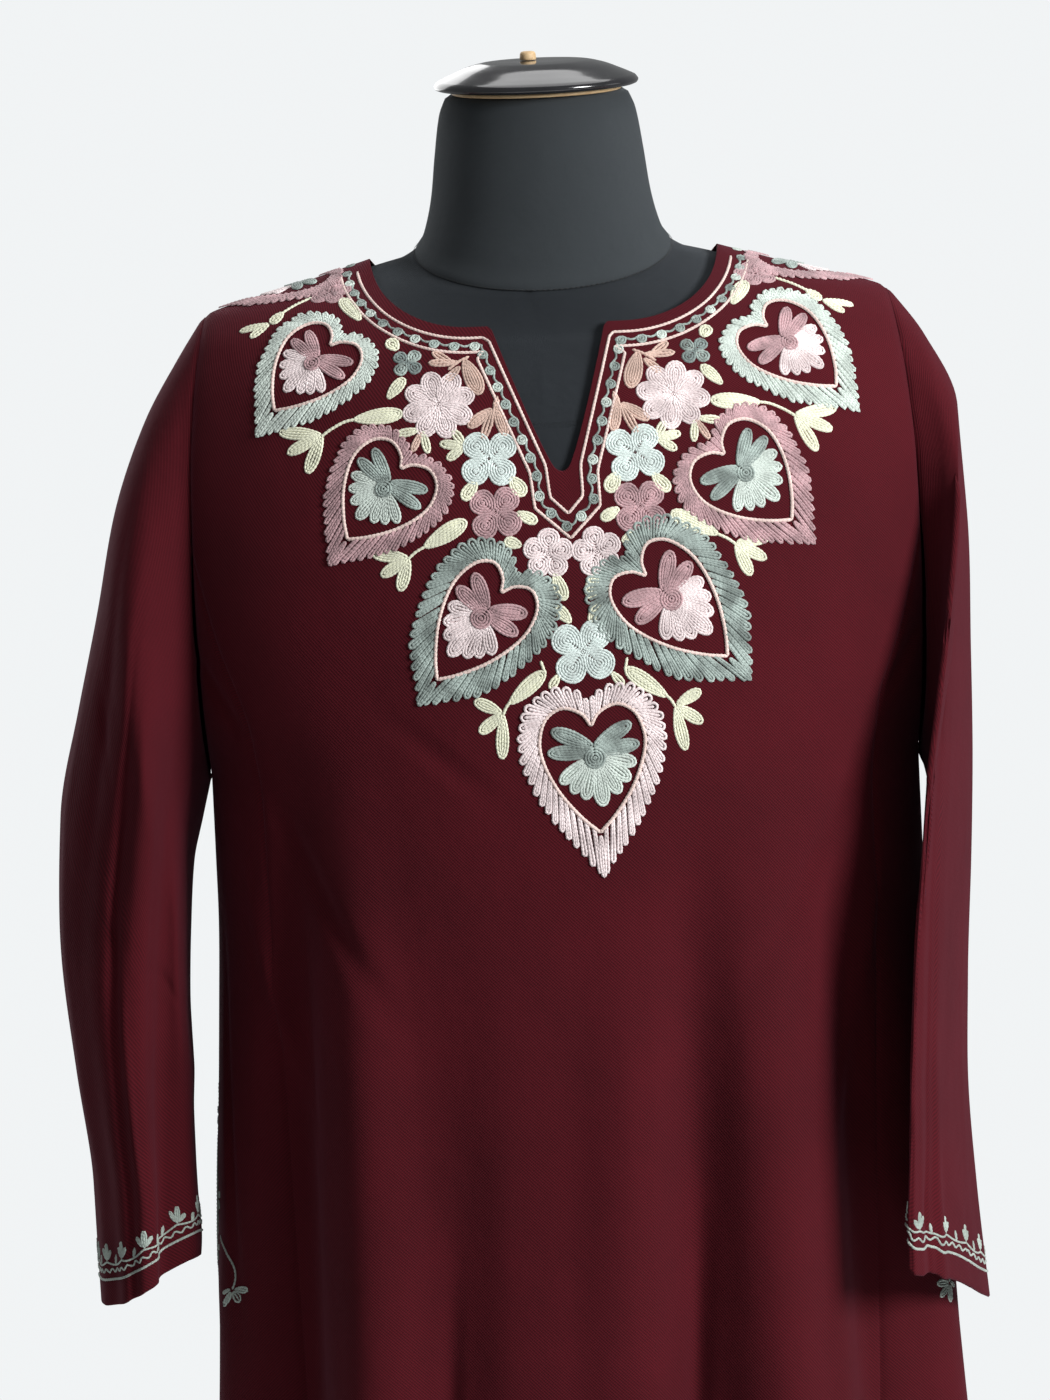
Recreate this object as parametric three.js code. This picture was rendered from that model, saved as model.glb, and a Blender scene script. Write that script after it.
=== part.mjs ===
// A pheran: a loose wool tunic with long sleeves, worn by a limbless dress form on a round stand.
// Millimetres, +Z up, +X to the wearer's left, and the front faces -Y. The origin is the centre of the
// stand's underside. Levels are measured downwards, as "down", from the high point of the shoulder.
import * as THREE from "three";

// ---------------------------------------------------------------- driving dimensions
const SHOULDER_HEIGHT = 1390; // floor to the high point of the shoulder, beside the neck
const CLOTH = 1.6; // thickness of the wool
const SEAM_GAP = 0.4; // between two sewn panels
const ARMHOLE_EASE = 0.5; // how far a sleeve starts outside its armhole
const GARMENT_LENGTH = 1067; // high point of the shoulder to the hem
const NECK_HALF = 96; // centre front to the high point of the shoulder
const TIP_HALF = 190; // centre front to the tip of the shoulder
const TIP_DROP = 28; // how far the tip lies below the high point
const ARMPIT_DOWN = 286;
const NECK_FRONT_DROP = 39; // depth of the round neckline in front
const NECK_BACK_DROP = 16;
const NECK_FLAT_HALF = 42; // the front neckline is level out to here
const SLIT_HALF = 31; // half the width of the front slit, at the neckline
const SLIT_DEPTH = 78; // from the neckline to the bottom of the slit
const SLIT_FOOT = 4; // half the width of its rounded foot
const SLIT_LEAN = 4; // how far its foot hangs towards the wearer's left
const GORE_TOP_ROW = 6; // the armhole row at which the side gores start
const POCKET_TOP = 466;
const POCKET_BOTTOM = 592;
const POCKET_MOUTH = { left: 2.45, right: 1.75 }; // how far inside the folded cloth each bag starts
const POCKET_GAPE = 6; // degrees round the side by which the front edge of the pocket stands open

// ---------------------------------------------------------------- tables: one row for each section
const bodySections = [
  // half the width, depth of the front and depth of the back, at each level
  { down: 0, half: 96, front: 24, back: 36 },
  { down: 12, half: 136, front: 36, back: 50 },
  { down: 28, half: 190, front: 57, back: 64 },
  { down: 45, half: 207, front: 75, back: 76 },
  { down: 75, half: 217, front: 95, back: 90 },
  { down: 120, half: 223, front: 112, back: 104 },
  { down: 180, half: 220, front: 125, back: 115 },
  { down: 240, half: 210, front: 130, back: 118 },
  { down: 286, half: 199, front: 131, back: 117 },
  { down: 350, half: 199, front: 131, back: 116 },
  { down: 450, half: 204, front: 134, back: 119 },
  { down: 560, half: 210, front: 139, back: 126 },
  { down: 650, half: 214, front: 144, back: 132 },
  { down: 800, half: 224, front: 153, back: 142 },
  { down: 950, half: 236, front: 163, back: 152 },
  { down: 1067, half: 247, front: 171, back: 160 },
];
const armhole = [
  // how far the armhole's edge is from the centre line
  { down: 28, half: 190 },
  { down: 75, half: 196 },
  { down: 120, half: 199 },
  { down: 190, half: 200 },
  { down: 286, half: 199 },
];
const goreSeam = [
  // how far the seam between a centre panel and its side gore is from the centre line
  { down: 157, half: 200 },
  { down: 205, half: 188 },
  { down: 250, half: 173 },
  { down: 300, half: 167 },
  { down: 450, half: 168 },
  { down: 650, half: 168 },
  { down: 1067, half: 176 },
];
// Soft folds of the hanging cloth. at: degrees round the body from the centre front, towards the wearer's
// left; width: half of the fold; depth: out is plus, at the hem; start: where it begins, as "down".
const bodyFolds = [
  { at: 17, width: 11, depth: -15, start: 300 },
  { at: 32, width: 13, depth: 9, start: 330 },
  { at: 51, width: 13, depth: -20, start: 300 },
  { at: 70, width: 11, depth: 13, start: 420 },
  { at: 92, width: 12, depth: -13, start: 380 },
  { at: 112, width: 12, depth: 12, start: 420 },
  { at: 131, width: 11, depth: -14, start: 330 },
  { at: 150, width: 12, depth: 10, start: 380 },
  { at: 169, width: 12, depth: -13, start: 300 },
  { at: -8, width: 15, depth: 5, start: 420 },
  { at: -34, width: 12, depth: 11, start: 300 },
  { at: -52, width: 12, depth: -17, start: 280 },
  { at: -71, width: 11, depth: 12, start: 420 },
  { at: -93, width: 12, depth: -12, start: 400 },
  { at: -113, width: 12, depth: 13, start: 380 },
  { at: -134, width: 13, depth: -15, start: 330 },
  { at: -156, width: 13, depth: 12, start: 360 },
];
// Each sleeve hangs empty: the outer and the inner edge of every section as seen from the front, half of its
// depth from front to back, the middle of that depth, how far the front leans towards the body, and how much
// higher the front is than the middle.
const rightSleeve = [
  { outer: 190, outerDown: 28, inner: 199, innerDown: 286, half: 80, middle: -6, lean: 0, rise: 0 },
  { outer: 206, outerDown: 52, inner: 205, innerDown: 309, half: 83, middle: -8, lean: 0, rise: 0 },
  { outer: 225, outerDown: 84, inner: 211, innerDown: 333, half: 84, middle: -10, lean: 1, rise: 1 },
  { outer: 244, outerDown: 132, inner: 214, innerDown: 362, half: 82, middle: -12, lean: 2, rise: 2 },
  { outer: 257, outerDown: 188, inner: 216, innerDown: 391, half: 79, middle: -13, lean: 3, rise: 3 },
  { outer: 271, outerDown: 244, inner: 217, innerDown: 419, half: 76, middle: -14, lean: 4, rise: 4 },
  { outer: 284, outerDown: 303, inner: 217, innerDown: 444, half: 73, middle: -15, lean: 5, rise: 5 },
  { outer: 288, outerDown: 370, inner: 219, innerDown: 471, half: 70, middle: -17, lean: 5, rise: 5 },
  { outer: 283, outerDown: 446, inner: 221, innerDown: 502, half: 67, middle: -20, lean: 4, rise: 5 },
  { outer: 276, outerDown: 510, inner: 222, innerDown: 528, half: 63, middle: -24, lean: 3, rise: 6 },
  { outer: 275, outerDown: 577, inner: 223, innerDown: 558, half: 59, middle: -28, lean: 2, rise: 8 },
];
const leftSleeve = [
  { outer: 190, outerDown: 28, inner: 199, innerDown: 286, half: 80, middle: -6, lean: 0, rise: 0 },
  { outer: 209, outerDown: 55, inner: 203, innerDown: 309, half: 80, middle: -14, lean: 1, rise: 0 },
  { outer: 225, outerDown: 94, inner: 202, innerDown: 334, half: 76, middle: -26, lean: 6, rise: 1 },
  { outer: 226, outerDown: 150, inner: 200.5, innerDown: 363, half: 71, middle: -40, lean: 13, rise: 2 },
  { outer: 222.5, outerDown: 207, inner: 197.5, innerDown: 391, half: 68, middle: -50, lean: 17, rise: 3 },
  { outer: 219, outerDown: 262, inner: 195.5, innerDown: 417, half: 66, middle: -58, lean: 19, rise: 4 },
  { outer: 214, outerDown: 327, inner: 193, innerDown: 443, half: 63, middle: -66, lean: 20, rise: 6 },
  { outer: 209.5, outerDown: 396, inner: 190, innerDown: 470, half: 61, middle: -73, lean: 19.5, rise: 8 },
  { outer: 206.5, outerDown: 460, inner: 189, innerDown: 501, half: 59, middle: -79, lean: 20, rise: 9 },
  { outer: 207, outerDown: 520, inner: 189, innerDown: 531, half: 56, middle: -83, lean: 22, rise: 10 },
  { outer: 210, outerDown: 584, inner: 190, innerDown: 556, half: 54, middle: -87, lean: 25, rise: 16 },
];
// Folds along a sleeve. at: degrees round it from its outer edge, through its front; start and end: share
// of its length over which the fold reaches its full depth, where out is plus.
const sleeveFolds = [
  { at: 52, width: 22, depth: -3, start: 0.05, end: 0.4 },
  { at: 98, width: 20, depth: 4, start: 0.02, end: 0.3 },
  { at: 124, width: 18, depth: -9, start: 0.04, end: 0.3 },
  { at: 150, width: 18, depth: 5, start: 0.1, end: 0.45 },
  { at: 205, width: 24, depth: -5, start: 0.1, end: 0.5 },
  { at: 250, width: 24, depth: 6, start: 0.05, end: 0.4 },
  { at: 292, width: 22, depth: -5, start: 0.05, end: 0.5 },
];
const torsoSections = [
  // the dress form below the shoulders
  { down: 33, half: 187, front: 60, back: 65 },
  { down: 120, half: 177, front: 108, back: 100 },
  { down: 180, half: 166, front: 120, back: 111 },
  { down: 240, half: 157, front: 124, back: 112 },
  { down: 300, half: 140, front: 112, back: 104 },
  { down: 390, half: 120, front: 92, back: 90 },
  { down: 470, half: 142, front: 100, back: 102 },
  { down: 560, half: 158, front: 108, back: 113 },
  { down: 640, half: 156, front: 104, back: 110 },
  { down: 676, half: 148, front: 96, back: 102 },
  { down: 686, half: 132, front: 82, back: 88 },
];
// The last ring of the form's shoulders: how far down it lies at the sides, in front and at the back.
const shoulderFoot = { sides: 33, front: 95, back: 88 };
// The neck: radii and tilt of each section. lift: height above the high point of the shoulder; slope: how
// much lower the front is than the back, for each mm of depth.
const neckSections = [
  { lift: 2, half: 71, front: 61, back: 45, slope: 0.38 },
  { lift: 12, half: 66, front: 59, back: 44, slope: 0.34 },
  { lift: 32, half: 61, front: 57, back: 43, slope: 0.26 },
  { lift: 55, half: 58, front: 57, back: 42, slope: 0.2 },
  { lift: 77, half: 54.5, front: 56, back: 40, slope: 0.13 },
  { lift: 88, half: 50, front: 52, back: 36, slope: 0.11 },
];

const BODY_POWER = 2.2; // squareness of a level section of the body
const TORSO_UNDER = 4.4; // how far the form lies below the cloth on the shoulder
const TORSO_WITHIN = 2; // and how much slimmer it is there
const NECK_BASE_GAP = 0.3;
const ARMHOLE_ROWS = 12; // steps from the shoulder's tip to the armpit
const GORE_STEPS = 6; // steps across one gore
const SLEEVE_RINGS = 18;
const CAP = { radius: 56.5, lift: 88, tilt: 0.11, y: -8 }; // the lacquered cap on the neck
const STAND = { base: 180, plate: 10, pole: 14, flange: 45, flangeHeight: 12 };

// ---------------------------------------------------------------- small helpers
const side = { left: 1, right: -1 };
const radians = THREE.MathUtils.degToRad;
const smooth = (low, high, x) => THREE.MathUtils.smoothstep(x, low, high);
const mix = THREE.MathUtils.lerp;
const heightAt = (down) => SHOULDER_HEIGHT - down;

// Reads one named column of a table at x, through a curve with no overshoot.
function read(table, key, column, x) {
  const last = table.length - 1;
  if (x <= table[0][key]) return table[0][column];
  if (x >= table[last][key]) return table[last][column];
  const i = table.findIndex((row) => row[key] > x) - 1;
  const step = (j) => table[j + 1][key] - table[j][key];
  const slope = (j) => (table[j + 1][column] - table[j][column]) / step(j);
  const tangent = (j) => {
    if (j === 0) return slope(0);
    if (j === last) return slope(last - 1);
    const [a, b] = [slope(j - 1), slope(j)];
    return a * b <= 0 ? 0 : (2 * a * b) / (a + b);
  };
  const h = step(i);
  const t = (x - table[i][key]) / h;
  return (
    table[i][column] * (1 + 2 * t) * (1 - t) ** 2 +
    tangent(i) * h * t * (1 - t) ** 2 +
    table[i + 1][column] * t * t * (3 - 2 * t) +
    tangent(i + 1) * h * t * t * (t - 1)
  );
}

// One soft fold: 1 at its middle, 0 beyond its width.
const bump = (x, width) => (Math.abs(x) < width ? Math.cos((Math.PI * x) / (2 * width)) ** 2 : 0);
const turn = (a) => ((((a + 180) % 360) + 360) % 360) - 180;

// ---------------------------------------------------------------- grids and walls
// A grid is rows of points. A wall is the closed solid between a grid and its copy moved inwards.
function gridNormals(rows, wrap) {
  const normals = rows.map((row) => row.map(() => new THREE.Vector3()));
  const columns = rows[0].length;
  const last = wrap ? columns : columns - 1;
  for (let i = 0; i + 1 < rows.length; i++) {
    for (let j = 0; j < last; j++) {
      const k = (j + 1) % columns;
      const across = rows[i + 1][k].clone().sub(rows[i][j]);
      const face = rows[i + 1][j].clone().sub(rows[i][k]).cross(across);
      for (const [a, b] of [[i, j], [i, k], [i + 1, j], [i + 1, k]]) normals[a][b].add(face);
    }
  }
  return normals;
}

// Moves the outline of a grid in by half a seam gap, along the cloth.
function trimmed(rows, wrap) {
  const half = SEAM_GAP / 2;
  const bottom = rows.length - 1;
  const towards = (p, q) => p.clone().add(q.clone().sub(p).setLength(half));
  const cut = rows.map((row) => row.map((p) => p.clone()));
  rows[0].forEach((p, j) => (cut[0][j] = towards(p, rows[1][j])));
  rows[bottom].forEach((p, j) => (cut[bottom][j] = towards(p, rows[bottom - 1][j])));
  if (wrap) return cut;
  const right = rows[0].length - 1;
  return cut.map((row) =>
    row.map((p, j) => {
      if (j === 0) return towards(p, row[1]);
      return j === right ? towards(p, row[right - 1]) : p;
    }),
  );
}

// The inner skin of a wall.
function insideOf(outer, normals) {
  const inwards = (p, normal) => p.clone().addScaledVector(normal.clone().normalize(), -CLOTH);
  return outer.map((row, i) => row.map((p, j) => inwards(p, normals[i][j])));
}

// The solid of a wall: outer skin, inner skin and the rim, as one indexed geometry.
function wallGeometry(outer, inner, { wrap = false, closedEnd = false } = {}) {
  const rows = outer.length;
  const columns = outer[0].length;
  const points = [...outer.flat(), ...inner.flat()];
  const index = [];
  const quad = (a, b, c, d) => index.push(a, b, c, a, c, d);
  const at = (skin, i, j) => skin * rows * columns + i * columns + (j % columns);
  const last = wrap ? columns : columns - 1;
  const foot = rows - 1;
  for (let i = 0; i + 1 < rows; i++) {
    for (let j = 0; j < last; j++) {
      quad(at(0, i, j), at(0, i + 1, j), at(0, i + 1, j + 1), at(0, i, j + 1));
      quad(at(1, i, j), at(1, i, j + 1), at(1, i + 1, j + 1), at(1, i + 1, j));
    }
  }
  for (let j = 0; j < last; j++) {
    quad(at(0, 0, j), at(0, 0, j + 1), at(1, 0, j + 1), at(1, 0, j));
    if (!closedEnd) quad(at(0, foot, j + 1), at(0, foot, j), at(1, foot, j), at(1, foot, j + 1));
  }
  if (closedEnd) {
    for (const skin of [0, 1]) {
      const centre = new THREE.Vector3();
      (skin ? inner : outer)[foot].forEach((p) => centre.addScaledVector(p, 1 / columns));
      points.push(centre);
      const tip = points.length - 1;
      for (let j = 0; j < columns; j++) {
        const [a, b] = [at(skin, foot, j), at(skin, foot, j + 1)];
        index.push(...(skin ? [a, b, tip] : [b, a, tip]));
      }
    }
  }
  if (!wrap) {
    for (let i = 0; i + 1 < rows; i++) {
      quad(at(0, i + 1, 0), at(0, i, 0), at(1, i, 0), at(1, i + 1, 0));
      quad(at(0, i, last), at(0, i + 1, last), at(1, i + 1, last), at(1, i, last));
    }
  }
  return geometryOf(points, index);
}

function geometryOf(points, index) {
  const geometry = new THREE.BufferGeometry().setFromPoints(points);
  geometry.setIndex(index);
  geometry.computeVertexNormals();
  return geometry;
}

// A solid through closed rings, with a flat or domed end at each side. Rings run from the top down.
function loftGeometry(rings) {
  const columns = rings[0].length;
  const points = rings.flat();
  const index = [];
  for (let i = 0; i + 1 < rings.length; i++) {
    for (let j = 0; j < columns; j++) {
      const k = (j + 1) % columns;
      const [a, b, c, d] = [i * columns + j, (i + 1) * columns + j, (i + 1) * columns + k, i * columns + k];
      index.push(a, b, c, a, c, d);
    }
  }
  for (const end of [0, rings.length - 1]) {
    const centre = new THREE.Vector3();
    rings[end].forEach((p) => centre.addScaledVector(p, 1 / columns));
    points.push(centre);
    for (let j = 0; j < columns; j++) {
      const [a, b] = [end * columns + j, end * columns + ((j + 1) % columns)];
      index.push(...(end ? [b, a, points.length - 1] : [a, b, points.length - 1]));
    }
  }
  return geometryOf(points, index);
}

// ---------------------------------------------------------------- the body of the garment
// How far the folds move the cloth out, at an angle round the body.
function foldAt(angle, down) {
  return bodyFolds.reduce((sum, fold) => {
    const below = smooth(fold.start, fold.start + 180, down);
    const grown = mix(below, smooth(fold.start, GARMENT_LENGTH, down), 0.65);
    return sum + fold.depth * grown * bump(turn(angle - fold.at), fold.width);
  }, 0);
}

// A point of the worn cloth, at an angle round the body.
function bodyPoint(degrees, down) {
  const face = Math.abs(degrees) <= 90 ? "front" : "back";
  const half = read(bodySections, "down", "half", down);
  const full = read(bodySections, "down", face, down);
  const share = Math.sin(radians(degrees));
  const depth = full * Math.max(0, 1 - Math.abs(share) ** BODY_POWER) ** (1 / BODY_POWER);
  const y = face === "front" ? -depth : depth;
  const out = new THREE.Vector3(share / half, y / full ** 2, 0).normalize();
  return new THREE.Vector3(half * share, y, heightAt(down)).addScaledVector(out, foldAt(degrees, down));
}

// The same point with the way out of the cloth there, which two sewn panels share.
function bodyNode(x, down, face) {
  const half = read(bodySections, "down", "half", down);
  const angle = THREE.MathUtils.radToDeg(Math.asin(THREE.MathUtils.clamp(x / half, -1, 1)));
  const degrees = face === "front" ? angle : 180 * (Math.sign(x) || 1) - angle;
  const round = bodyPoint(turn(degrees + 1), down).sub(bodyPoint(turn(degrees - 1), down));
  const along = bodyPoint(degrees, down + 1).sub(bodyPoint(degrees, Math.max(0, down - 1)));
  return { point: bodyPoint(degrees, down), normal: along.cross(round).normalize() };
}

// The shoulder seam runs along the ridge: the level at which the body is just as wide as x.
function shoulderDrop(x) {
  let [low, high] = [0, TIP_DROP];
  for (let i = 0; i < 40; i++) {
    const middle = (low + high) / 2;
    if (read(bodySections, "down", "half", middle) < Math.abs(x)) low = middle;
    else high = middle;
  }
  return (low + high) / 2;
}

// The round neckline, and past its ends the shoulder seam.
function necklineDrop(x, face) {
  const far = Math.abs(x);
  if (far >= NECK_HALF) return shoulderDrop(x);
  if (face === "back") return NECK_BACK_DROP * (1 - (far / NECK_HALF) ** 2.4) ** (1 / 2.4);
  const share = Math.max(0, far - NECK_FLAT_HALF) / (NECK_HALF - NECK_FLAT_HALF);
  return NECK_FRONT_DROP * (1 - share ** 2) ** 0.5;
}

// How much of the slit's depth it has at x.
function slitShare(x) {
  const out = THREE.MathUtils.clamp((Math.abs(x) - SLIT_FOOT) / (SLIT_HALF - SLIT_FOOT), 0, 1);
  return (1 - out ** 1.15) * (1 - 0.03 * Math.min(1, Math.abs(x) / SLIT_FOOT) ** 2);
}

// The upper edge of each centre panel: the front has the slit as well.
const backTop = (x) => necklineDrop(x, "back");
function frontTop(x) {
  return necklineDrop(x, "front") + SLIT_DEPTH * slitShare(x);
}

// Where each column of a centre panel meets its upper edge.
const shoulderColumns = [96, 111, 127, 143, 159, 175, 190];
const frontColumns = [0, 4, 9, 15, 22, 31, 42, 54, 66, 78, 87, 93, ...shoulderColumns];
const backColumns = [0, 20, 42, 63, 81, 92, ...shoulderColumns];
const mirrored = (half) => [...half.slice(1).reverse().map((x) => -x), ...half];

// Levels of the rows: down the armhole at even angles, then down the side seam.
const armholeDown = Array.from(
  { length: ARMHOLE_ROWS + 1 },
  (_, j) => TIP_DROP + ((ARMPIT_DOWN - TIP_DROP) * (1 - Math.cos((Math.PI * j) / ARMHOLE_ROWS))) / 2,
);
const pocketDown = [POCKET_TOP, 498, 529, 560, POCKET_BOTTOM];
const sideDown = [328, 372, 418, ...pocketDown, 655, 725, 800, 885, 975, GARMENT_LENGTH];
const armholeHalf = (down) => read(armhole, "down", "half", down);
const seamHalf = (down) => read(goreSeam, "down", "half", down);

// A centre panel: its edges follow the armhole and then the gore seams.
function centreGrid(columns, topOf, face) {
  const all = mirrored(columns);
  const steps = columns.length - 1;
  const widest = radians(72);
  const spread = (x) => {
    const k = columns.indexOf(Math.abs(x));
    return (Math.sign(x) * Math.sin((widest * k) / steps)) / Math.sin(widest);
  };
  const rows = armholeDown.map((down, j) => {
    const share = (down - TIP_DROP) / (ARMPIT_DOWN - TIP_DROP);
    const edge = j <= GORE_TOP_ROW ? armholeHalf(down) : seamHalf(down);
    const settle = smooth(0, 0.75, share);
    return all.map((x) => {
      const lean = face === "front" ? SLIT_LEAN * slitShare(x) * (1 - share) : 0;
      const across = edge * mix(x / TIP_HALF, spread(x), settle) + lean;
      return bodyNode(across, mix(topOf(x), ARMPIT_DOWN, share), face);
    });
  });
  sideDown.forEach((down) => rows.push(all.map((x) => bodyNode(seamHalf(down) * spread(x), down, face))));
  return rows;
}

// A gore: from the seam to the armhole and the side seam. Its point lies in the armhole.
function goreGrid(face, which) {
  const sign = side[which];
  const pocketHalf = (POCKET_BOTTOM - POCKET_TOP) / 2;
  const pocketMiddle = (POCKET_BOTTOM + POCKET_TOP) / 2;
  const level = (down, outer) => {
    const half = read(bodySections, "down", "half", down);
    const from = Math.asin(seamHalf(down) / half);
    const open = face === "front" ? POCKET_GAPE * bump(down - pocketMiddle, pocketHalf) : 0;
    const to = Math.asin(Math.min(1, outer / half)) - radians(open);
    const row = [];
    for (let j = 0; j <= GORE_STEPS; j++) {
      row.push(bodyNode(sign * half * Math.sin(mix(from, to, j / GORE_STEPS)), down, face));
    }
    return row;
  };
  const apex = bodyNode(sign * armholeHalf(armholeDown[GORE_TOP_ROW]), armholeDown[GORE_TOP_ROW], face);
  const below = armholeDown.slice(GORE_TOP_ROW + 1).map((down) => level(down, armholeHalf(down)));
  const tip = below[0].map((node) => ({
    point: apex.point.clone().lerp(node.point, 0.15),
    normal: apex.normal.clone().lerp(node.normal, 0.15),
  }));
  return [tip, ...below, ...sideDown.map((down) => level(down, read(bodySections, "down", "half", down)))];
}

// The wall of a panel, inwards from its nodes.
function panel(grid) {
  const outer = trimmed(grid.map((row) => row.map((node) => node.point)));
  return wallGeometry(outer, insideOf(outer, grid.map((row) => row.map((node) => node.normal))));
}

const reversedRows = (grid) => grid.map((row) => [...row].reverse());

const frontPanel = () => panel(centreGrid(frontColumns, frontTop, "front"));
const backPanel = () => panel(reversedRows(centreGrid(backColumns, backTop, "back")));
function gorePanel(face, which) {
  const grid = goreGrid(face, which);
  return panel((face === "front") === (which === "left") ? grid : reversedRows(grid));
}

// ---------------------------------------------------------------- sleeves
// The armhole as a loop: 0 degrees at the shoulder's tip, 90 in front, 180 at the armpit.
function armholeNode(degrees, which) {
  const down = TIP_DROP + ((ARMPIT_DOWN - TIP_DROP) * (1 - Math.cos(radians(degrees)))) / 2;
  return bodyNode(side[which] * armholeHalf(down), down, degrees <= 180 ? "front" : "back");
}

// A point of the hanging sleeve, before the armhole draws its top together.
function hungPoint(table, which, share, degrees) {
  const at = (column) => read(table, "at", column, share);
  const [wide, steep] = [at("outer") - at("inner"), at("innerDown") - at("outerDown")];
  const outwards = new THREE.Vector3(wide / 2, 0, steep / 2);
  const forwards = new THREE.Vector3(-at("lean"), -at("half"), at("rise"));
  const angle = radians(degrees);
  const fold = sleeveFolds.reduce(
    (sum, f) => sum + f.depth * smooth(f.start, f.end, share) * bump(turn(degrees - f.at), f.width),
    0,
  );
  const away = outwards.clone().normalize().multiplyScalar(Math.cos(angle));
  away.addScaledVector(forwards.clone().normalize(), Math.sin(angle));
  const centre = new THREE.Vector3((at("outer") + at("inner")) / 2, at("middle"), 0);
  centre.z = heightAt((at("outerDown") + at("innerDown")) / 2);
  centre.addScaledVector(outwards, Math.cos(angle)).addScaledVector(forwards, Math.sin(angle));
  return centre.addScaledVector(away, fold).multiply(new THREE.Vector3(side[which], 1, 1));
}

function sleevePoint(table, which, share, degrees) {
  const held = armholeNode(degrees, which).point.sub(hungPoint(table, which, 0, degrees));
  held.x += side[which] * ARMHOLE_EASE;
  return hungPoint(table, which, share, degrees).addScaledVector(held, 1 - smooth(0, 0.32, share));
}

// Gives each row of a table its share of the sleeve's length, measured down the middle.
function withShares(table) {
  const middle = (row) => new THREE.Vector2((row.outer + row.inner) / 2, (row.outerDown + row.innerDown) / 2);
  let run = 0;
  const lengths = table.map((row, i) => (run += i ? middle(row).distanceTo(middle(table[i - 1])) : 0));
  return table.map((row, i) => ({ ...row, at: lengths[i] / run }));
}

function sleeve(table, which) {
  const steps = ARMHOLE_ROWS * 2;
  const angles = Array.from({ length: steps }, (_, j) => (360 * j) / steps);
  if (which === "left") angles.reverse();
  const shared = withShares(table);
  const rows = [];
  for (let i = 0; i <= SLEEVE_RINGS; i++) {
    rows.push(angles.map((degrees) => sleevePoint(shared, which, i / SLEEVE_RINGS, degrees)));
  }
  const normals = gridNormals(rows, true);
  angles.forEach((degrees, j) => {
    // Over the shoulder the sleeve's edge stands square to the edge of the body's cloth.
    const own = smooth(60, 115, Math.abs(turn(degrees)));
    normals[0][j].normalize().lerp(armholeNode(degrees, which).normal, 1 - own);
  });
  const outer = trimmed(rows, true);
  return wallGeometry(outer, insideOf(outer, normals), { wrap: true });
}

// ---------------------------------------------------------------- pockets
// A plain bag behind each open stretch of the side seam. Its mouth lies under the edges of the gores.
const POCKET_STEPS = 12;
const pocketSections = [
  // inwards: from the mouth, which lies under the side of the body
  { inwards: 0, top: 459, bottom: 599, front: -27, back: 5 },
  { inwards: 10, top: 460, bottom: 606, front: -25, back: 3 },
  { inwards: 22, top: 464, bottom: 616, front: -24, back: 0 },
  { inwards: 32, top: 474, bottom: 618, front: -20, back: -3 },
];
function pocketGeometry(which) {
  const ring = (row, inset) => {
    const points = [];
    for (let j = 0; j < POCKET_STEPS; j++) {
      const angle = (2 * Math.PI * j) / POCKET_STEPS;
      const down = (row.top + row.bottom) / 2 - ((row.bottom - row.top) / 2 - inset) * Math.cos(angle);
      const y = (row.front + row.back) / 2 + ((row.back - row.front) / 2 - inset) * Math.sin(angle);
      const half = read(bodySections, "down", "half", down);
      const front = read(bodySections, "down", y < 0 ? "front" : "back", down);
      const edge = half * (1 - Math.min(1, Math.abs(y) / front) ** BODY_POWER) ** (1 / BODY_POWER);
      const fold = foldAt(90 + THREE.MathUtils.radToDeg(y / half), down);
      const far = edge + fold - POCKET_MOUTH[which] - row.inwards;
      points.push(new THREE.Vector3(side[which] * far, y, heightAt(down)));
    }
    return which === "left" ? points.reverse() : points;
  };
  const outer = pocketSections.map((row) => ring(row, 0));
  const foot = pocketSections.at(-1);
  const lining = pocketSections.with(-1, { ...foot, inwards: foot.inwards - CLOTH });
  const inner = lining.map((row) => ring(row, CLOTH));
  return wallGeometry(outer, inner, { wrap: true, closedEnd: true });
}

// ---------------------------------------------------------------- the dress form and its stand
const FORM_STEPS = 32;
function formRing({ half, front, back, z, slope = 0, power = BODY_POWER }) {
  const ring = [];
  for (let j = 0; j < FORM_STEPS; j++) {
    const angle = (2 * Math.PI * j) / FORM_STEPS;
    const bend = (value) => Math.sign(value) * Math.abs(value) ** (2 / power);
    const y = -(Math.sin(angle) > 0 ? front : back) * bend(Math.sin(angle));
    ring.push(new THREE.Vector3(-half * bend(Math.cos(angle)), y, z + slope * y));
  }
  return ring;
}

// A ring of the form's shoulders, which carry the garment: share 0 lies under the neckline, 1 is the foot.
function shoulderRing(share) {
  const ring = [];
  for (let j = 0; j < FORM_STEPS; j++) {
    const degrees = turn((360 * j) / FORM_STEPS - 90);
    const face = Math.abs(degrees) <= 90 ? "front" : "back";
    const across = Math.sin(radians(degrees));
    const edge = necklineDrop(NECK_HALF * across, face) + TORSO_UNDER;
    const foot = mix(shoulderFoot[face], shoulderFoot.sides, across ** 2);
    const down = mix(edge, foot, share);
    const level = down - TORSO_UNDER;
    const half = Math.min(torsoSections[0].half, read(bodySections, "down", "half", level) - 0.6);
    const x = across * mix(NECK_HALF - 0.6, torsoSections[0].half, share);
    const full = read(bodySections, "down", face, level) - TORSO_WITHIN;
    const depth = full * (1 - Math.min(1, Math.abs(x) / half) ** BODY_POWER) ** (1 / BODY_POWER);
    ring.push(new THREE.Vector3(x, face === "front" ? -depth : depth, heightAt(down)));
  }
  return ring;
}

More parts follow.
